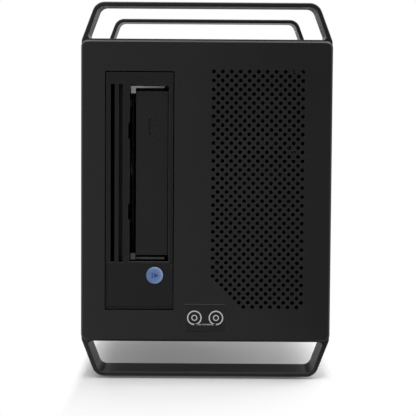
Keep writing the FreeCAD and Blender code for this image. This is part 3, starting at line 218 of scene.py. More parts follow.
def makeBrushLines():
    # long fine lines, as rolling or belt grinding leaves them; Stretch is small along the lines
    tree, given, out = newGroup(
        "brushLines",
        [("Vector", "NodeSocketVector", None), ("Size", "NodeSocketFloat", 0.0004),
         ("Stretch", "NodeSocketVector", (1.0, 1.0, 0.02))],
        [("Height", "NodeSocketFloat"), ("Streak", "NodeSocketFloat")])
    drawn = addVector(tree, "MULTIPLY", -760, 0, given["Vector"], given["Stretch"])
    scale = addMath(tree, "DIVIDE", -760, -200, 1.0, given["Size"])
    line = addNoise(tree, -500, 60, drawn, scale, lineNoise["detail"], lineNoise["rough"])
    slowScale = addMath(tree, "MULTIPLY", -640, -260, scale, lineNoise["slower"])
    slow = addNoise(tree, -500, -200, drawn, slowScale, lineNoise["slowDetail"], lineNoise["slowRough"])
    feed(tree, line, out["Height"])
    feed(tree, addRange(tree, -200, -120, slow, lineNoise["from"], lineNoise["to"]), out["Streak"])
    return tree


dustNoise = {"tilted": 0.6, "level": 0.95, "scale": 90.0, "detail": 6.0, "rough": 0.7, "from": 0.3, "to": 0.8}


def makeDust():
    # a little dust on what faces up
    tree, given, out = newGroup(
        "dust",
        [("Vector", "NodeSocketVector", None), ("Amount", "NodeSocketFloat", 0.1)],
        [("Mask", "NodeSocketFloat")])
    normal = addNode(tree, "ShaderNodeNewGeometry", -900, 160).outputs["Normal"]
    up = addSplit(tree, -700, 160, normal)["Z"]
    facing = addRange(tree, -500, 160, up, dustNoise["tilted"], dustNoise["level"])
    cloud = addNoise(tree, -700, -100, given["Vector"], dustNoise["scale"], dustNoise["detail"],
                     dustNoise["rough"])
    cloud = addRange(tree, -500, -100, cloud, dustNoise["from"], dustNoise["to"])
    lying = addMath(tree, "MULTIPLY", -260, 40, facing, cloud)
    feed(tree, addMath(tree, "MULTIPLY", -60, 0, lying, given["Amount"]), out["Mask"])
    return tree


fineGrain = makeFineGrain()
mottle = makeMottle()
edgeWearAndHighlight = makeEdgeWearAndHighlight()
brushLines = makeBrushLines()
dust = makeDust()
print("shared effects made")


# finishes
plainFinish = {
    "metal": 0.0, "shine": 0.5, "coat": 0.0, "coatRough": 0.2, "patch": 0.03, "grain": 0.0005,
    "speck": 0.15, "roughSpread": 0.08, "bump": 0.00002, "bumpStrength": 1.0,
    "lineShare": 0.7, "grainShare": 0.3, "streakShare": 0.5,
    "edgeShare": 0.5, "breakup": 0.5, "edgeRough": -0.1,
    "dust": 0.0, "dustColour": (0.35, 0.34, 0.32), "dustRough": 0.3}


def startFinish(look):
    # the parts that every finish has: tone, grain, worn edges that also carry a painted highlight, dust and
    # their roughness
    look = {**plainFinish, **look}
    material = bpy.data.materials.new(look["name"])
    material.use_nodes = True
    tree = material.node_tree
    tree.nodes.clear()
    output = addNode(tree, "ShaderNodeOutputMaterial", 900, 0)
    shader = addNode(tree, "ShaderNodeBsdfPrincipled", 600, 0)
    tree.links.new(shader.outputs[0], output.inputs[0])
    shader.inputs["Metallic"].default_value = look["metal"]
    shader.inputs["Specular IOR Level"].default_value = look["shine"]
    shader.inputs["Coat Weight"].default_value = look["coat"]
    shader.inputs["Coat Roughness"].default_value = look["coatRough"]
    place = addNode(tree, "ShaderNodeTexCoord", -1300, 0).outputs["Object"]
    tone = useGroup(tree, mottle, -1000, 300, Vector=place, Size=look["patch"])["Mask"]
    grain = useGroup(tree, fineGrain, -1000, 0, Vector=place, Size=look["grain"])
    colour = addMix(tree, -700, 300, tone, look["colour"], look["other"])
    speck = addMath(tree, "MULTIPLY", -700, 60, grain["Speck"], look["speck"])
    colour = addMix(tree, -500, 260, speck, colour, look.get("speckColour", look["other"]))
    height = grain["Height"]
    if "lines" in look:
        line = useGroup(tree, brushLines, -1000, -300, Vector=place, Size=look["lines"],
                        Stretch=look["stretch"])
        under = addMath(tree, "MULTIPLY", -860, -300, height, look["grainShare"])
        height = addMath(tree, "MULTIPLY_ADD", -700, -200, line["Height"], look["lineShare"], under)
        streak = addMath(tree, "MULTIPLY", -500, 60, line["Streak"], look["streakShare"])
        colour = addMix(tree, -320, 260, streak, colour, look["other"])
    rough = addMath(tree, "MULTIPLY_ADD", -300, -60, tone, look["roughSpread"], look["rough"])
    # corners take the edge colour: partly wear, partly a painted highlight
    if "edge" in look:
        wornAndHighlitEdge = useGroup(tree, edgeWearAndHighlight, -700, -420, Vector=place, Radius=look["edge"],
                        Breakup=look["breakup"])["Mask"]
        wornAndHighlitEdge = addMath(tree, "MULTIPLY", -480, -420, wornAndHighlitEdge, look["edgeShare"])
        colour = addMix(tree, -120, 260, wornAndHighlitEdge, colour, look["edgeWearAndHighlightColour"])
        rough = addMath(tree, "MULTIPLY_ADD", -120, -60, wornAndHighlitEdge, look["edgeRough"], rough)
    if look["dust"]:
        settled = useGroup(tree, dust, -300, 480, Vector=place, Amount=look["dust"])["Mask"]
        colour = addMix(tree, 60, 260, settled, colour, look["dustColour"])
        rough = addMath(tree, "MULTIPLY_ADD", 60, -60, settled, look["dustRough"], rough)
    bump = addNode(tree, "ShaderNodeBump", 300, -300)
    bump.inputs["Strength"].default_value = look["bumpStrength"]
    bump.inputs["Distance"].default_value = look["bump"]
    feed(tree, height, bump.inputs["Height"])
    feed(tree, colour, shader.inputs["Base Color"])
    feed(tree, rough, shader.inputs["Roughness"])
    feed(tree, bump.outputs["Normal"], shader.inputs["Normal"])
    return {"material": material, "tree": tree, "shader": shader, "place": place,
            "colour": colour, "rough": rough}


looks = {
    "black_anodised": {
        "name": "blackAnodised", "colour": (0.0052, 0.0052, 0.0054), "other": (0.0066, 0.0066, 0.0069),
        "patch": 0.045, "grain": 0.0006, "speck": 0.35, "speckColour": (0.016, 0.016, 0.0165),
        "rough": 0.33, "roughSpread": 0.06, "shine": 0.34, "bump": 0.000022,
        "edge": 0.00035, "edgeWearAndHighlightColour": (0.075, 0.075, 0.078), "edgeShare": 0.55, "dust": 0.03},
    "black_powder": {
        "name": "blackPowderCoat", "colour": (0.0120, 0.0120, 0.0122), "other": (0.0155, 0.0155, 0.0158),
        "patch": 0.06, "grain": 0.0010, "speck": 0.2, "rough": 0.46, "roughSpread": 0.06,
        "shine": 0.45, "bump": 0.00005, "edge": 0.0004, "edgeWearAndHighlightColour": (0.05, 0.05, 0.05),
        "edgeShare": 0.3, "dust": 0.05},
    "badge_metal": {
        "name": "badgeMetal", "colour": (0.0042, 0.0042, 0.0044), "other": (0.0064, 0.0064, 0.0067),
        "patch": 0.01, "grain": 0.0004, "rough": 0.36, "shine": 0.30, "bump": 0.000012,
        "lines": 0.00025, "stretch": (0.02, 1.0, 1.0),
        "edge": 0.0002, "edgeWearAndHighlightColour": (0.11, 0.11, 0.115), "edgeShare": 0.7, "breakup": 0.3},
    "black_rubber": {
        "name": "blackRubber", "colour": (0.0110, 0.0110, 0.0110), "other": (0.0190, 0.0185, 0.0180),
        "patch": 0.006, "grain": 0.0008, "rough": 0.78, "roughSpread": 0.12, "shine": 0.35, "bump": 0.00008},
    "dark_screw": {
        "name": "blackOxideSteel", "colour": (0.020, 0.020, 0.021), "other": (0.032, 0.031, 0.030),
        "patch": 0.003, "grain": 0.0003, "metal": 0.6, "rough": 0.36, "shine": 0.5, "bump": 0.00001,
        "edge": 0.0002, "edgeWearAndHighlightColour": (0.16, 0.155, 0.15), "edgeShare": 0.6},
    "plated_steel": {
        "name": "nickelPlatedSteel", "colour": (0.52, 0.51, 0.49), "other": (0.44, 0.43, 0.42),
        "patch": 0.004, "grain": 0.0004, "metal": 1.0, "rough": 0.24, "roughSpread": 0.12, "bump": 0.000008,
        "edge": 0.0002, "edgeWearAndHighlightColour": (0.74, 0.73, 0.71), "edgeShare": 0.5},
    "plain_aluminium": {
        "name": "millAluminium", "colour": (0.60, 0.61, 0.62), "other": (0.49, 0.50, 0.51),
        "patch": 0.02, "grain": 0.0005, "metal": 1.0, "rough": 0.36, "roughSpread": 0.10, "bump": 0.000015,
        "lines": 0.0004, "stretch": (1.0, 0.03, 1.0), "edge": 0.0004,
        "edgeWearAndHighlightColour": (0.80, 0.80, 0.81), "edgeShare": 0.5},
    "brass": {
        "name": "turnedBrass", "colour": (0.66, 0.48, 0.20), "other": (0.55, 0.38, 0.15),
        "patch": 0.004, "grain": 0.0003, "metal": 1.0, "rough": 0.28, "roughSpread": 0.12, "bump": 0.00001,
        "lines": 0.00025, "stretch": (0.05, 0.05, 1.0), "edge": 0.0003,
        "edgeWearAndHighlightColour": (0.86, 0.70, 0.38), "edgeShare": 0.5},
    "black_plastic": {
        "name": "mouldedBlackPlastic", "colour": (0.0120, 0.0120, 0.0125), "other": (0.0165, 0.0165, 0.0170),
        "patch": 0.02, "grain": 0.0007, "rough": 0.44, "roughSpread": 0.10, "shine": 0.45, "bump": 0.00003,
        "edge": 0.0003, "edgeWearAndHighlightColour": (0.05, 0.05, 0.052), "edgeShare": 0.35, "dust": 0.05},
    "gloss_black": {
        "name": "glossBlackPlastic", "colour": (0.0080, 0.0080, 0.0085), "other": (0.0110, 0.0110, 0.0115),
        "patch": 0.01, "grain": 0.0010, "rough": 0.14, "roughSpread": 0.08, "shine": 0.5, "bump": 0.000006,
        "edge": 0.0003, "edgeWearAndHighlightColour": (0.04, 0.04, 0.042), "edgeShare": 0.3, "coat": 0.3},
    "cast_alloy": {
        "name": "diecastAlloy", "colour": (0.42, 0.42, 0.43), "other": (0.33, 0.33, 0.34),
        "patch": 0.015, "grain": 0.0008, "metal": 1.0, "rough": 0.46, "roughSpread": 0.14, "bump": 0.00005,
        "edge": 0.0004, "edgeWearAndHighlightColour": (0.66, 0.66, 0.67), "edgeShare": 0.5},
    "bezel_plastic": {
        "name": "bezelPlastic", "colour": (0.0026, 0.0026, 0.0027), "other": (0.0036, 0.0036, 0.0037),
        "patch": 0.03, "grain": 0.0007, "speck": 0.3, "speckColour": (0.010, 0.010, 0.010),
        "rough": 0.44, "roughSpread": 0.08, "shine": 0.24, "bump": 0.00003,
        "edge": 0.0004, "edgeWearAndHighlightColour": (0.075, 0.075, 0.077), "edgeShare": 0.6, "breakup": 0.25},
    "door_plastic": {
        "name": "doorPlastic", "colour": (0.0034, 0.0034, 0.0036), "other": (0.0047, 0.0047, 0.0049),
        "patch": 0.02, "grain": 0.0008, "speck": 0.3, "speckColour": (0.012, 0.012, 0.012),
        "rough": 0.40, "roughSpread": 0.08, "shine": 0.28, "bump": 0.00003,
        "edge": 0.0003, "edgeWearAndHighlightColour": (0.045, 0.045, 0.046), "edgeShare": 0.5, "breakup": 0.25},
    "white_plastic": {
        "name": "whitePlastic", "colour": (0.70, 0.69, 0.65), "other": (0.62, 0.61, 0.57),
        "patch": 0.01, "grain": 0.0006, "rough": 0.38, "roughSpread": 0.08, "bump": 0.00002,
        "edge": 0.0003, "edgeWearAndHighlightColour": (0.82, 0.81, 0.78), "edgeShare": 0.3},
    "head_alloy": {
        "name": "lappedHeadAlloy", "colour": (0.50, 0.49, 0.46), "other": (0.36, 0.35, 0.33),
        "patch": 0.003, "grain": 0.0003, "metal": 1.0, "rough": 0.16, "roughSpread": 0.10, "bump": 0.000005,
        "lines": 0.0002, "stretch": (0.03, 1.0, 1.0)},
    "cable_jacket": {
        "name": "cableJacket", "colour": (0.0150, 0.0150, 0.0155), "other": (0.0210, 0.0210, 0.0215),
        "patch": 0.008, "grain": 0.0005, "rough": 0.52, "roughSpread": 0.12, "shine": 0.4, "bump": 0.00003},
}
finishes = {slot: startFinish(look)["material"] for slot, look in looks.items()}


zincSheet = {
    "name": "zincSheet", "colour": (0.34, 0.35, 0.37), "other": (0.29, 0.30, 0.32), "patch": 0.03,
    "grain": 0.0006, "metal": 1.0, "rough": 0.34, "roughSpread": 0.12, "bump": 0.00001,
    "edge": 0.0004, "edgeWearAndHighlightColour": (0.70, 0.70, 0.71), "edgeShare": 0.5,
    "crystals": 140.0, "crystalColour": (0.62, 0.64, 0.67), "crystalShare": 0.5, "crystalRough": 0.16}


def makeZincSheet():
    # galvanised sheet: flat crystals, each its own grey, over a rolled grain
    parts = startFinish(zincSheet)
    tree = parts["tree"]
    crystal = addNode(tree, "ShaderNodeTexVoronoi", -300, 700)
    feed(tree, parts["place"], crystal.inputs["Vector"])
    feed(tree, zincSheet["crystals"], crystal.inputs["Scale"])
    grey = addNode(tree, "ShaderNodeSeparateColor", -100, 700)
    feed(tree, crystal.outputs["Color"], grey.inputs[0])
    share = addMath(tree, "MULTIPLY", 100, 700, grey.outputs[0], zincSheet["crystalShare"])
    colour = addMix(tree, 300, 500, share, parts["colour"], zincSheet["crystalColour"])
    rough = addMath(tree, "MULTIPLY_ADD", 300, 100, grey.outputs[1], zincSheet["crystalRough"],
                    parts["rough"])
    feed(tree, colour, parts["shader"].inputs["Base Color"])
    feed(tree, rough, parts["shader"].inputs["Roughness"])
    return parts["material"]


circuitBoard = {
    "name": "circuitBoard", "colour": (0.012, 0.070, 0.028), "other": (0.010, 0.055, 0.022), "patch": 0.02,
    "grain": 0.0004, "rough": 0.30, "roughSpread": 0.08, "bump": 0.000008,
    "step": 0.0008, "tracks": 260.0, "trackEdge": (0.10, 0.04), "trackColour": (0.045, 0.17, 0.06),
    "trackShare": 0.6, "pads": 330.0, "padSpread": 0.35, "padEdge": (0.17, 0.13),
    "padColour": (0.62, 0.58, 0.46)}


def makeCircuitBoard():
    # green mask with copper tracks that show through it, and bright pads
    parts = startFinish(circuitBoard)
    tree = parts["tree"]
    tracks = addNode(tree, "ShaderNodeTexVoronoi", -300, 900, feature="DISTANCE_TO_EDGE")
    stepped = addVector(tree, "SNAP", -500, 900, parts["place"], (circuitBoard["step"],) * 3)
    feed(tree, stepped, tracks.inputs["Vector"])
    feed(tree, circuitBoard["tracks"], tracks.inputs["Scale"])
    track = addRange(tree, -100, 900, tracks.outputs["Distance"], *circuitBoard["trackEdge"])
    pads = addNode(tree, "ShaderNodeTexVoronoi", -300, 620, feature="F1")
    feed(tree, parts["place"], pads.inputs["Vector"])
    feed(tree, circuitBoard["pads"], pads.inputs["Scale"])
    feed(tree, circuitBoard["padSpread"], pads.inputs["Randomness"])
    pad = addRange(tree, -100, 620, pads.outputs["Distance"], *circuitBoard["padEdge"])
    seen = addMath(tree, "MULTIPLY", 60, 900, track, circuitBoard["trackShare"])
    colour = addMix(tree, 200, 700, seen, parts["colour"], circuitBoard["trackColour"])
    colour = addMix(tree, 380, 700, pad, colour, circuitBoard["padColour"])
    feed(tree, colour, parts["shader"].inputs["Base Color"])
    feed(tree, pad, parts["shader"].inputs["Metallic"])
    return parts["material"]


brightSheet = {
    "name": "brightStainless", "colour": (0.34, 0.34, 0.335), "other": (0.25, 0.25, 0.245),
    "patch": 0.01, "grain": 0.0004, "metal": 1.0, "rough": 0.30, "roughSpread": 0.10, "bump": 0.00001,
    "lines": 0.0003, "stretch": (1.0, 0.03, 1.0), "edge": 0.0003,
    "edgeWearAndHighlightColour": (0.78, 0.78, 0.77), "edgeShare": 0.5,
    "paintedShadeColour": (0.012, 0.012, 0.011), "paintedShadeTall": (0.2, 0.8), "paintedShadeLow": 0.80, "paintedShadeWideFrom": 0.4,
    "paintedShadeWide": 0.65, "patches": 120.0, "patchDetail": 4.0, "patchRough": 0.6, "patchEdge": (0.3, 0.7),
    "patchLeast": 0.85}


def makeBrightSheet():
    # stainless sheet with painted shade: darker toward the low end and toward +X, the hinge end, where less
    # light falls, broken up by noise
    low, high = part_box("cartridge_guide")
    parts = startFinish(brightSheet)
    tree, place = parts["tree"], parts["place"]
    split = addSplit(tree, -500, 700, place)
    # painted shade: a dark colour mixed in by height and by position along X
    lowFrom, lowTo = (low.z + (high.z - low.z) * share for share in brightSheet["paintedShadeTall"])
    wideFrom = low.x + (high.x - low.x) * brightSheet["paintedShadeWideFrom"]
    down = addRange(tree, -300, 800, split["Z"], lowFrom, lowTo, brightSheet["paintedShadeLow"], 0.0)
    along = addRange(tree, -300, 600, split["X"], wideFrom, high.x, 0.0, brightSheet["paintedShadeWide"])
    paintedShade = addMath(tree, "MAXIMUM", -100, 700, down, along)
    cloud = addNoise(tree, -500, 1000, place, brightSheet["patches"], brightSheet["patchDetail"],
                     brightSheet["patchRough"])
    patch = addRange(tree, -300, 1000, cloud, *brightSheet["patchEdge"], brightSheet["patchLeast"], 1.0)
    paintedShade = addMath(tree, "MULTIPLY", 60, 800, paintedShade, patch)
    colour = addMix(tree, 300, 600, paintedShade, parts["colour"], brightSheet["paintedShadeColour"])
    feed(tree, colour, parts["shader"].inputs["Base Color"])
    return parts["material"]


blueButton = {
    "name": "blueButtonPlastic", "colour": (0.175, 0.290, 0.580), "other": (0.192, 0.315, 0.610),
    "patch": 0.002, "grain": 0.0004, "rough": 0.34, "roughSpread": 0.06, "shine": 0.4, "bump": 0.00001,
    "rimHighlightColour": (0.430, 0.610, 0.920), "ring": (0.55, 0.98), "slope": 0.4, "slopeFrom": -0.7,
    "leastRing": 0.05, "inside": 0.25, "insideRadius": (0.3, 0.5, 1.0), "insideScale": 0.002}


def makeButtonPlastic():
    # tinted plastic that scatters light inside, with a painted highlight on its rim, brightest toward +X and
    # upward
    low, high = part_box("eject_button")
    centre = (low + high) / 2
    radius = (high.x - low.x) / 2
    parts = startFinish(blueButton)
    tree, shader = parts["tree"], parts["shader"]
    offset = addVector(tree, "SUBTRACT", -500, 700, parts["place"], tuple(centre))
    flat = addVector(tree, "MULTIPLY", -340, 700, offset, (1.0, 0.0, 1.0))
    away = addVector(tree, "LENGTH", -180, 700, flat)
    # painted highlight: a lighter rim, strongest on the side toward +X and up
    ringFrom, ringTo = (radius * share for share in blueButton["ring"])
    ring = addRange(tree, 0, 700, away, ringFrom, ringTo)
    split = addSplit(tree, -340, 900, offset)
    slope = addMath(tree, "MULTIPLY_ADD", -180, 900, split["Z"], blueButton["slope"], split["X"])
    side = addRange(tree, 0, 900, slope, radius * blueButton["slopeFrom"], radius,
                    blueButton["leastRing"], 1.0)
    bright = addMath(tree, "MULTIPLY", 180, 800, ring, side)
    colour = addMix(tree, 380, 600, bright, parts["colour"], blueButton["rimHighlightColour"])
    feed(tree, colour, shader.inputs["Base Color"])
    shader.inputs["Subsurface Weight"].default_value = blueButton["inside"]
    shader.inputs["Subsurface Radius"].default_value = blueButton["insideRadius"]
    shader.inputs["Subsurface Scale"].default_value = blueButton["insideScale"]
    return parts["material"]


finishes["zinc_sheet"] = makeZincSheet()
finishes["bright_sheet"] = makeBrightSheet()
finishes["circuit_board"] = makeCircuitBoard()
finishes["blue_button"] = makeButtonPlastic()
for name, node in nodes.items():
    node.data.materials.clear()
    node.data.materials.append(finishes[slotOf[name]])
print("finishes made:", len(finishes))


# modelling helpers
weldWithin = 0.000002
smoothAngle = math.radians(30)


def deselectAll():
    if bpy.context.object and bpy.context.object.mode != "OBJECT":
        bpy.ops.object.mode_set(mode="OBJECT")
    bpy.ops.object.select_all(action="DESELECT")


def addModifier(piece, kind, **settings):
    modifier = piece.modifiers.new(kind.lower(), kind)
    for name, value in settings.items():
        setattr(modifier, name, value)
    bpy.ops.object.modifier_apply(modifier=modifier.name)


def settle(piece, name, body, slot, finish=None):
    # the finished piece: place in its mesh, faces out, on its body and with its finish
    deselectAll()
    piece.select_set(True)
    bpy.context.view_layer.objects.active = piece
    bpy.ops.object.transform_apply(location=True, rotation=True, scale=True)
    bpy.ops.object.mode_set(mode="EDIT")
    bpy.ops.mesh.select_all(action="SELECT")
    bpy.ops.mesh.remove_doubles(threshold=weldWithin)
    bpy.ops.mesh.normals_make_consistent(inside=False)
    bpy.ops.object.mode_set(mode="OBJECT")
    bpy.ops.object.shade_smooth_by_angle(angle=smoothAngle)
    piece.name = name
    piece.data.name = name
    piece.data.materials.clear()
    piece.data.materials.append(finish or finishes[slot])
    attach(piece, body)


def addBlock(centre, size):
    deselectAll()
    bpy.ops.mesh.primitive_cube_add(size=1.0, location=centre)
    piece = bpy.context.object
    piece.scale = size
    bpy.ops.object.transform_apply(location=False, rotation=False, scale=True)
    return piece


def roundEdges(piece, width):
    addModifier(piece, "BEVEL", width=width, segments=2, limit_method="ANGLE")


def joinPieces(pieces):
    deselectAll()
    for piece in pieces:
        piece.select_set(True)
    bpy.context.view_layer.objects.active = pieces[0]
    bpy.ops.object.join()
    return pieces[0]


# printed and inlaid marks
markPaint = {"rough": 0.4, "patch": 0.003, "grain": 0.0003, "bump": 0.000006, "darker": 0.86}


def makeMarkPaint(name, mark):
    # paint of a mark's own colour, with the few settings of its own that the mark gives
    other = tuple(part * markPaint["darker"] for part in mark["colour"])
    return startFinish({**markPaint, **mark, "name": name, "other": other})["material"]


ejectMark = {"width": 0.0036, "bar": 0.0007, "barAt": 0.42, "tipAt": 0.18, "tip": 0.56, "round": 0.0001,
             "thick": 0.00012, "sunk": 0.0002, "colour": (0.028, 0.085, 0.300)}


def makeEjectMark():
    # the usual eject sign, a bar and a triangle, turned with the drive: it points to +X
    low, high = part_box("eject_button")
    centre = (low + high) / 2
    front = low.y + ejectMark["sunk"]
    tall = ejectMark["width"]
    bar = addBlock((centre.x - tall * ejectMark["barAt"], front, centre.z),
                   (ejectMark["bar"], ejectMark["thick"], tall))
    roundEdges(bar, ejectMark["round"])
    deselectAll()
    bpy.ops.mesh.primitive_cylinder_add(
        vertices=3, radius=tall * ejectMark["tip"], depth=ejectMark["thick"],
        location=(centre.x + tall * ejectMark["tipAt"], front, centre.z), rotation=(math.pi / 2, 0.0, 0.0))
    tip = bpy.context.object
    bpy.ops.object.transform_apply(location=False, rotation=True, scale=False)
    tip.rotation_euler = (0.0, math.pi / 2, 0.0)
    bpy.ops.object.transform_apply(location=False, rotation=True, scale=False)
    roundEdges(tip, ejectMark["round"])
    paint = makeMarkPaint("ejectMarkPaint", ejectMark)
    settle(joinPieces([bar, tip]), "eject_mark", "button", "blue_button", paint)


ringSides = 56


def addRing(centre, radius, line, thick):
    # a flat ring that faces -Y
    deselectAll()
    bpy.ops.mesh.primitive_circle_add(vertices=ringSides, radius=radius, fill_type="NGON", location=centre,
                                      rotation=(math.pi / 2, 0.0, 0.0))
    ring = bpy.context.object
    bpy.ops.object.mode_set(mode="EDIT")
    bpy.ops.mesh.select_all(action="SELECT")
    bpy.ops.mesh.inset(thickness=line)
    bpy.ops.mesh.delete(type="FACE")
    bpy.ops.object.mode_set(mode="OBJECT")
    bpy.ops.object.transform_apply(location=False, rotation=True, scale=False)
    addModifier(ring, "SOLIDIFY", thickness=thick, offset=0.0)
    return ring


def addReelSign(centre, sign, upright):
    # two reels and the tape that runs beside them: a plain sign for tape
    along = Vector((0.0, 0.0, 1.0)) if upright else Vector((1.0, 0.0, 0.0))
    beside = Vector((1.0, 0.0, 0.0)) if upright else Vector((0.0, 0.0, 1.0))
    pieces = []
    for side in (-1, 1):
        middle = centre + along * (side * sign["spread"])
        pieces.append(addRing(middle, sign["reel"], sign["line"], sign["thick"]))
        pieces.append(addRing(middle, sign["hub"], sign["line"] * sign["hubLine"], sign["thick"]))
    size = along * (2 * sign["spread"]) + beside * sign["line"] + Vector((0.0, sign["thick"], 0.0))
    pieces.append(addBlock(centre - beside * (sign["reel"] - sign["line"] / 2), size))
    return joinPieces(pieces)


badgeMark = {"reel": 0.0046, "hub": 0.0019, "spread": 0.0068, "line": 0.00075, "hubLine": 0.8,
             "thick": 0.00036, "colour": (0.78, 0.78, 0.79), "rough": 0.25, "metal": 0.6}


def makeBadgeMark():
    # silver inlay on the badge plate
    low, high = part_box("badge_plate")
    middle = (low + high) / 2
    sign = addReelSign(Vector((middle.x, low.y, middle.z)), badgeMark, False)
    paint = makeMarkPaint("silverInlay", badgeMark)
    settle(sign, "badge_mark", "enclosure", "badge_metal", paint)


doorMark = {"reel": 0.0034, "hub": 0.0014, "spread": 0.0050, "line": 0.0006, "hubLine": 0.8,
            "thick": 0.00024, "below": 0.022, "colour": (0.0016, 0.0016, 0.0017), "rough": 0.3}


def makeDoorMark():
    # the same sign, small and dark, where a cartridge format would be named
    low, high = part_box("cartridge_door")
    centre = Vector(((low.x + high.x) / 2, low.y, high.z - doorMark["below"]))
    paint = makeMarkPaint("doorMarkPaint", doorMark)
    settle(addReelSign(centre, doorMark, True), "door_mark", "door", "door_plastic", paint)


rockerMark = {"off": 0.0042, "dish": 0.0030, "bend": 0.040, "rest": 6.0, "tall": 0.0030, "line": 0.0006,
              "thick": 0.00012, "colour": (0.78, 0.78, 0.76)}


def makeRockerMarks():
    # a bar for on above the pivot and a ring for off below it, each laid on the dished face
    pivot = Vector(jointPlace["rocker_tilt"])
    rest = Matrix.Rotation(math.radians(-rockerMark["rest"]), 4, "X")
    pieces = []
    for side in (-1, 1):
        rise = side * rockerMark["off"]
        depth = rockerMark["dish"] + rise ** 2 / (2 * rockerMark["bend"])
        origin = Vector((0.0, 0.0, 0.0))
        if side > 0:
            mark = addBlock(origin, (rockerMark["line"], rockerMark["thick"], rockerMark["tall"]))
        else:
            mark = addRing(origin, rockerMark["tall"] / 2, rockerMark["line"], rockerMark["thick"])
        lean = Matrix.Rotation(-math.asin(rise / rockerMark["bend"]), 4, "X")
        turned = rest @ Matrix.Translation((0.0, depth, rise)) @ lean
        mark.matrix_world = Matrix.Translation(pivot) @ turned
        pieces.append(mark)
    paint = makeMarkPaint("rockerMarkPaint", rockerMark)
    settle(joinPieces(pieces), "rocker_marks", "rocker", "gloss_black", paint)


fanLabel = {"radius": 0.0088, "hole": 0.0016, "thick": 0.00016, "colour": (0.50, 0.51, 0.52),
            "rough": 0.35, "metal": 0.5}


def makeFanLabel():
    # bare foil label on the hub of the fan
    low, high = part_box("fan_rotor")
    middle = (low + high) / 2
    label = addRing((middle.x, high.y, middle.z), fanLabel["radius"], fanLabel["radius"] - fanLabel["hole"],
                    fanLabel["thick"])
    paint = makeMarkPaint("fanLabelFoil", fanLabel)
    settle(label, "fan_label", "fan", "black_plastic", paint)


# foam whose paint is also painted shade, a shield, and painted shade for the door seam
# foam paint: near black with almost no sheen, so it also paints the shade inside the slots it backs
foam = {"colour": (0.0010, 0.0010, 0.0010), "rough": 0.9, "shine": 0.02}
foamAndShadePaint = makeMarkPaint("filterFoamAndShade", foam)
slotFilter = {"thick": 0.0006, "left": 0.0012, "right": 0.0004, "past": 0.004, "baffle": 0.001}


def makeSlotFilter():
    # black foam against the baffle, behind the two cooling slots of the drive; its near-black, sheen-free
    # paint is also painted shade for the darkness deep in the slots
    low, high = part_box("drive_bezel")
    doorLow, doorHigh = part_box("cartridge_door")
    top = doorHigh.z + slotFilter["past"]
    bottom = doorLow.z - slotFilter["past"]
    left, right = low.x + slotFilter["left"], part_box("cartridge_guide")[0].x - slotFilter["right"]
    back = high.y - slotFilter["baffle"]
    size = (right - left, slotFilter["thick"], top - bottom)
    pad = addBlock(((left + right) / 2, back - slotFilter["thick"] / 2, (top + bottom) / 2), size)
    settle(pad, "slot_filter", "enclosure", "black_rubber", foamAndShadePaint)


ventFilter = {"below": 0.074, "gap": 0.0002, "size": (0.052, 0.0012, 0.045)}


def makeVentFilter():
    # the same foam inside the rear panel, behind its slots below the fan
    low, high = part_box("fan_frame")
    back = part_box("rear_panel")[0].y - ventFilter["gap"]
    middle = (low.z + high.z) / 2 - ventFilter["below"]
    pad = addBlock(((low.x + high.x) / 2, back - ventFilter["size"][1] / 2, middle), ventFilter["size"])
    settle(pad, "vent_filter", "enclosure", "black_rubber", foamAndShadePaint)


doorGapShade = {"in": 0.0014, "wide": 0.0007, "thick": 0.0001, "leaf": 0.0008,
            "colour": (0.0004, 0.0004, 0.0004), "rough": 0.8, "shine": 0.02}


def makeDoorGapShade():
    # painted shade: a dark strip on the door beside its hinge, where the gap to the bezel would be shaded
    low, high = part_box("cartridge_door")
    hingeX, hingeY, hingeZ = jointPlace["door_swing"]
    centre = (hingeX - doorGapShade["in"] + doorGapShade["wide"] / 2, hingeY - doorGapShade["leaf"], (low.z + high.z) / 2)
    strip = addBlock(centre, (doorGapShade["wide"], doorGapShade["thick"], high.z - low.z))
    paint = makeMarkPaint("seamShade", doorGapShade)
    settle(strip, "door_gap_shade", "door", "door_plastic", paint)


portShield = {"back": 0.0006, "thick": 0.0004, "side": 0.0015, "lip": 0.0008}


def makePortShield():
    # black sheet behind the data ports, so that no daylight shows past them
    low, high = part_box("data_ports")
    front = low.y - portShield["back"]
    size = (high.x - low.x + 2 * portShield["side"], portShield["thick"], high.z - low.z + portShield["lip"])
    shield = addBlock(((low.x + high.x) / 2, front, low.z + size[2] / 2), size)
    settle(shield, "port_shield", "enclosure", "black_powder")


makeEjectMark()
makeBadgeMark()
makeDoorMark()
makeRockerMarks()
makeFanLabel()
makePortShield()
makeSlotFilter()
makeVentFilter()
makeDoorGapShade()
print("marks, foam and shield made")


# studio
camera = {"place": (-0.00074, -1.12585, 0.18235), "lens": 136.5, "sensor": 36.0, "near": 0.05,
          "pitch": 85.75, "turn": -0.112, "roll": 0.383}


def makeCamera():
    deselectAll()
    bpy.ops.object.camera_add(location=camera["place"])
    made = bpy.context.object
    aim = Euler((math.radians(camera["pitch"]), 0.0, math.radians(camera["turn"]))).to_matrix()
    made.rotation_euler = (aim @ Matrix.Rotation(math.radians(camera["roll"]), 3, "Z")).to_euler()
    made.data.lens = camera["lens"]
    made.data.sensor_width = camera["sensor"]
    made.data.clip_start = camera["near"]
    bpy.context.scene.camera = made


lampAim = Vector((0.0, 0.0, 0.10))
lamps = {
    "overhead": {"at": (0.22, -0.15, 1.30), "size": (1.4, 1.2), "power": 13.0},
    "front": {"at": (-0.40, -1.10, 1.45), "size": (0.7, 0.5), "power": 6.5},
    "behind": {"at": (0.25, 0.90, 0.20), "size": (2.0, 0.15), "power": 32.0},
}


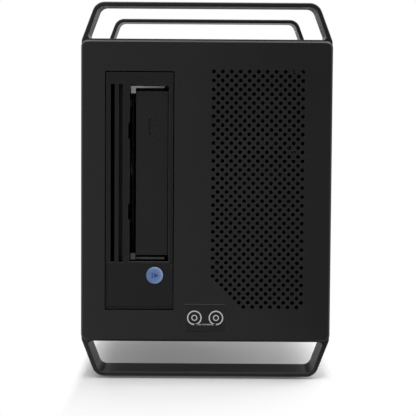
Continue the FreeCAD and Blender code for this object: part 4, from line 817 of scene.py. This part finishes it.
def makeLamps():
    # soft area lamps; the low one behind lights the floor and makes no reflection
    for name, lamp in lamps.items():
        deselectAll()
        bpy.ops.object.light_add(type="AREA", location=lamp["at"])
        made = bpy.context.object
        made.name = name
        made.data.shape = "RECTANGLE"
        made.data.size, made.data.size_y = lamp["size"]
        made.data.energy = lamp["power"]
        made.visible_glossy = name != "behind"
        made.rotation_euler = (lampAim - Vector(lamp["at"])).to_track_quat("-Z", "Y").to_euler()


sky = {"light": 0.25, "above": 4.2, "behind": 0.66, "sides": 1.2, "frontLeft": 1.9, "frontRight": 0.0,
       "tilt": 0.35, "across": (-0.62, 0.20), "ahead": (0.30, -0.45), "rise": (0.15, 0.75),
       "beside": (0.55, 0.90)}


def makeWorld():
    # pale room: white to the camera; glossy surfaces see a bright ceiling and sides, a dim far
    # wall and a card in front that gets darker to the right and upward
    world = bpy.data.worlds.new("paleRoom")
    bpy.context.scene.world = world
    world.use_nodes = True
    tree = world.node_tree
    tree.nodes.clear()
    direction = addNode(tree, "ShaderNodeTexCoord", -1200, -200).outputs["Generated"]
    toward = addSplit(tree, -1000, -200, direction)
    across = addMath(tree, "MULTIPLY_ADD", -900, -60, toward["Z"], sky["tilt"], toward["X"])
    card = addRange(tree, -700, -60, across, *sky["across"], sky["frontLeft"], sky["frontRight"])
    ahead = addRange(tree, -800, -400, toward["Y"], *sky["ahead"])
    rest = addRange(tree, -800, -600, toward["Z"], *sky["rise"], sky["behind"], sky["above"])
    change = addMath(tree, "SUBTRACT", -600, -200, card, rest)
    mirrored = addMath(tree, "MULTIPLY_ADD", -400, -200, ahead, change, rest)
    aside = addMath(tree, "ABSOLUTE", -800, -760, toward["X"])
    sides = addRange(tree, -600, -760, aside, *sky["beside"], 0.0, sky["sides"])
    mirrored = addMath(tree, "MAXIMUM", -300, -300, mirrored, sides)
    path = addNode(tree, "ShaderNodeLightPath", -1000, 300).outputs
    lit = addMath(tree, "MULTIPLY", -600, 100, path["Is Diffuse Ray"], sky["light"])
    gloss = addMath(tree, "MULTIPLY", -200, 0, path["Is Glossy Ray"], mirrored)
    seen = addMath(tree, "MAXIMUM", -600, 300, path["Is Camera Ray"], path["Is Transmission Ray"])
    strength = addMath(tree, "ADD", 0, 100, addMath(tree, "ADD", -200, 200, seen, lit), gloss)
    background = addNode(tree, "ShaderNodeBackground", 200, 0)
    background.inputs["Color"].default_value = (1.0, 1.0, 1.0, 1.0)
    feed(tree, strength, background.inputs["Strength"])
    feed(tree, background.outputs[0], addNode(tree, "ShaderNodeOutputWorld", 420, 0).inputs["Surface"])


floorLook = {"size": 6.0, "colour": (0.82, 0.82, 0.83), "glow": 0.11, "under": 0.002, "clear": (0.0, 0.006),
             "depthShare": 0.030}


def makeFloor():
    # matt white sheet that fades into the pale room away from the object, soonest at its sides
    deselectAll()
    bpy.ops.mesh.primitive_plane_add(size=floorLook["size"], location=(0.0, 0.0, 0.0))
    floor = bpy.context.object
    floor.name = "floor"
    material = bpy.data.materials.new("floorSheet")
    material.use_nodes = True
    tree = material.node_tree
    tree.nodes.clear()
    place = addNode(tree, "ShaderNodeTexCoord", -1100, 0).outputs["Object"]
    outside = addVector(tree, "SUBTRACT", -860, 0, addVector(tree, "ABSOLUTE", -960, 0, place),
                        (cadHigh.x - floorLook["under"], cadHigh.y, 1.0))
    outside = addVector(tree, "MAXIMUM", -780, 0, outside, (0.0, 0.0, 0.0))
    outside = addVector(tree, "MULTIPLY", -700, 0, outside, (1.0, floorLook["depthShare"], 0.0))
    away = addVector(tree, "LENGTH", -600, 0, outside)
    clear = addRange(tree, -500, 0, away, *floorLook["clear"])
    sheet = addNode(tree, "ShaderNodeBsdfDiffuse", -300, -160)
    sheet.inputs["Color"].default_value = (*floorLook["colour"], 1.0)
    glow = addNode(tree, "ShaderNodeEmission", -300, -260)
    path = addNode(tree, "ShaderNodeLightPath", -700, -300).outputs
    shown = addMath(tree, "MULTIPLY", -500, -300, path["Is Camera Ray"], floorLook["glow"])
    feed(tree, shown, glow.inputs["Strength"])
    paper = addNode(tree, "ShaderNodeAddShader", -100, -200)
    feed(tree, sheet.outputs[0], paper.inputs[0])
    feed(tree, glow.outputs[0], paper.inputs[1])
    faded = addNode(tree, "ShaderNodeBsdfTransparent", -300, -380)
    both = addNode(tree, "ShaderNodeMixShader", 100, 0)
    feed(tree, clear, both.inputs[0])
    feed(tree, paper.outputs[0], both.inputs[1])
    feed(tree, faded.outputs[0], both.inputs[2])
    feed(tree, both.outputs[0], addNode(tree, "ShaderNodeOutputMaterial", 300, 0).inputs["Surface"])
    floor.data.materials.append(material)


makeCamera()
makeLamps()
makeWorld()
makeFloor()
bpy.context.scene.view_settings.view_transform = "Standard"
print("studio made")
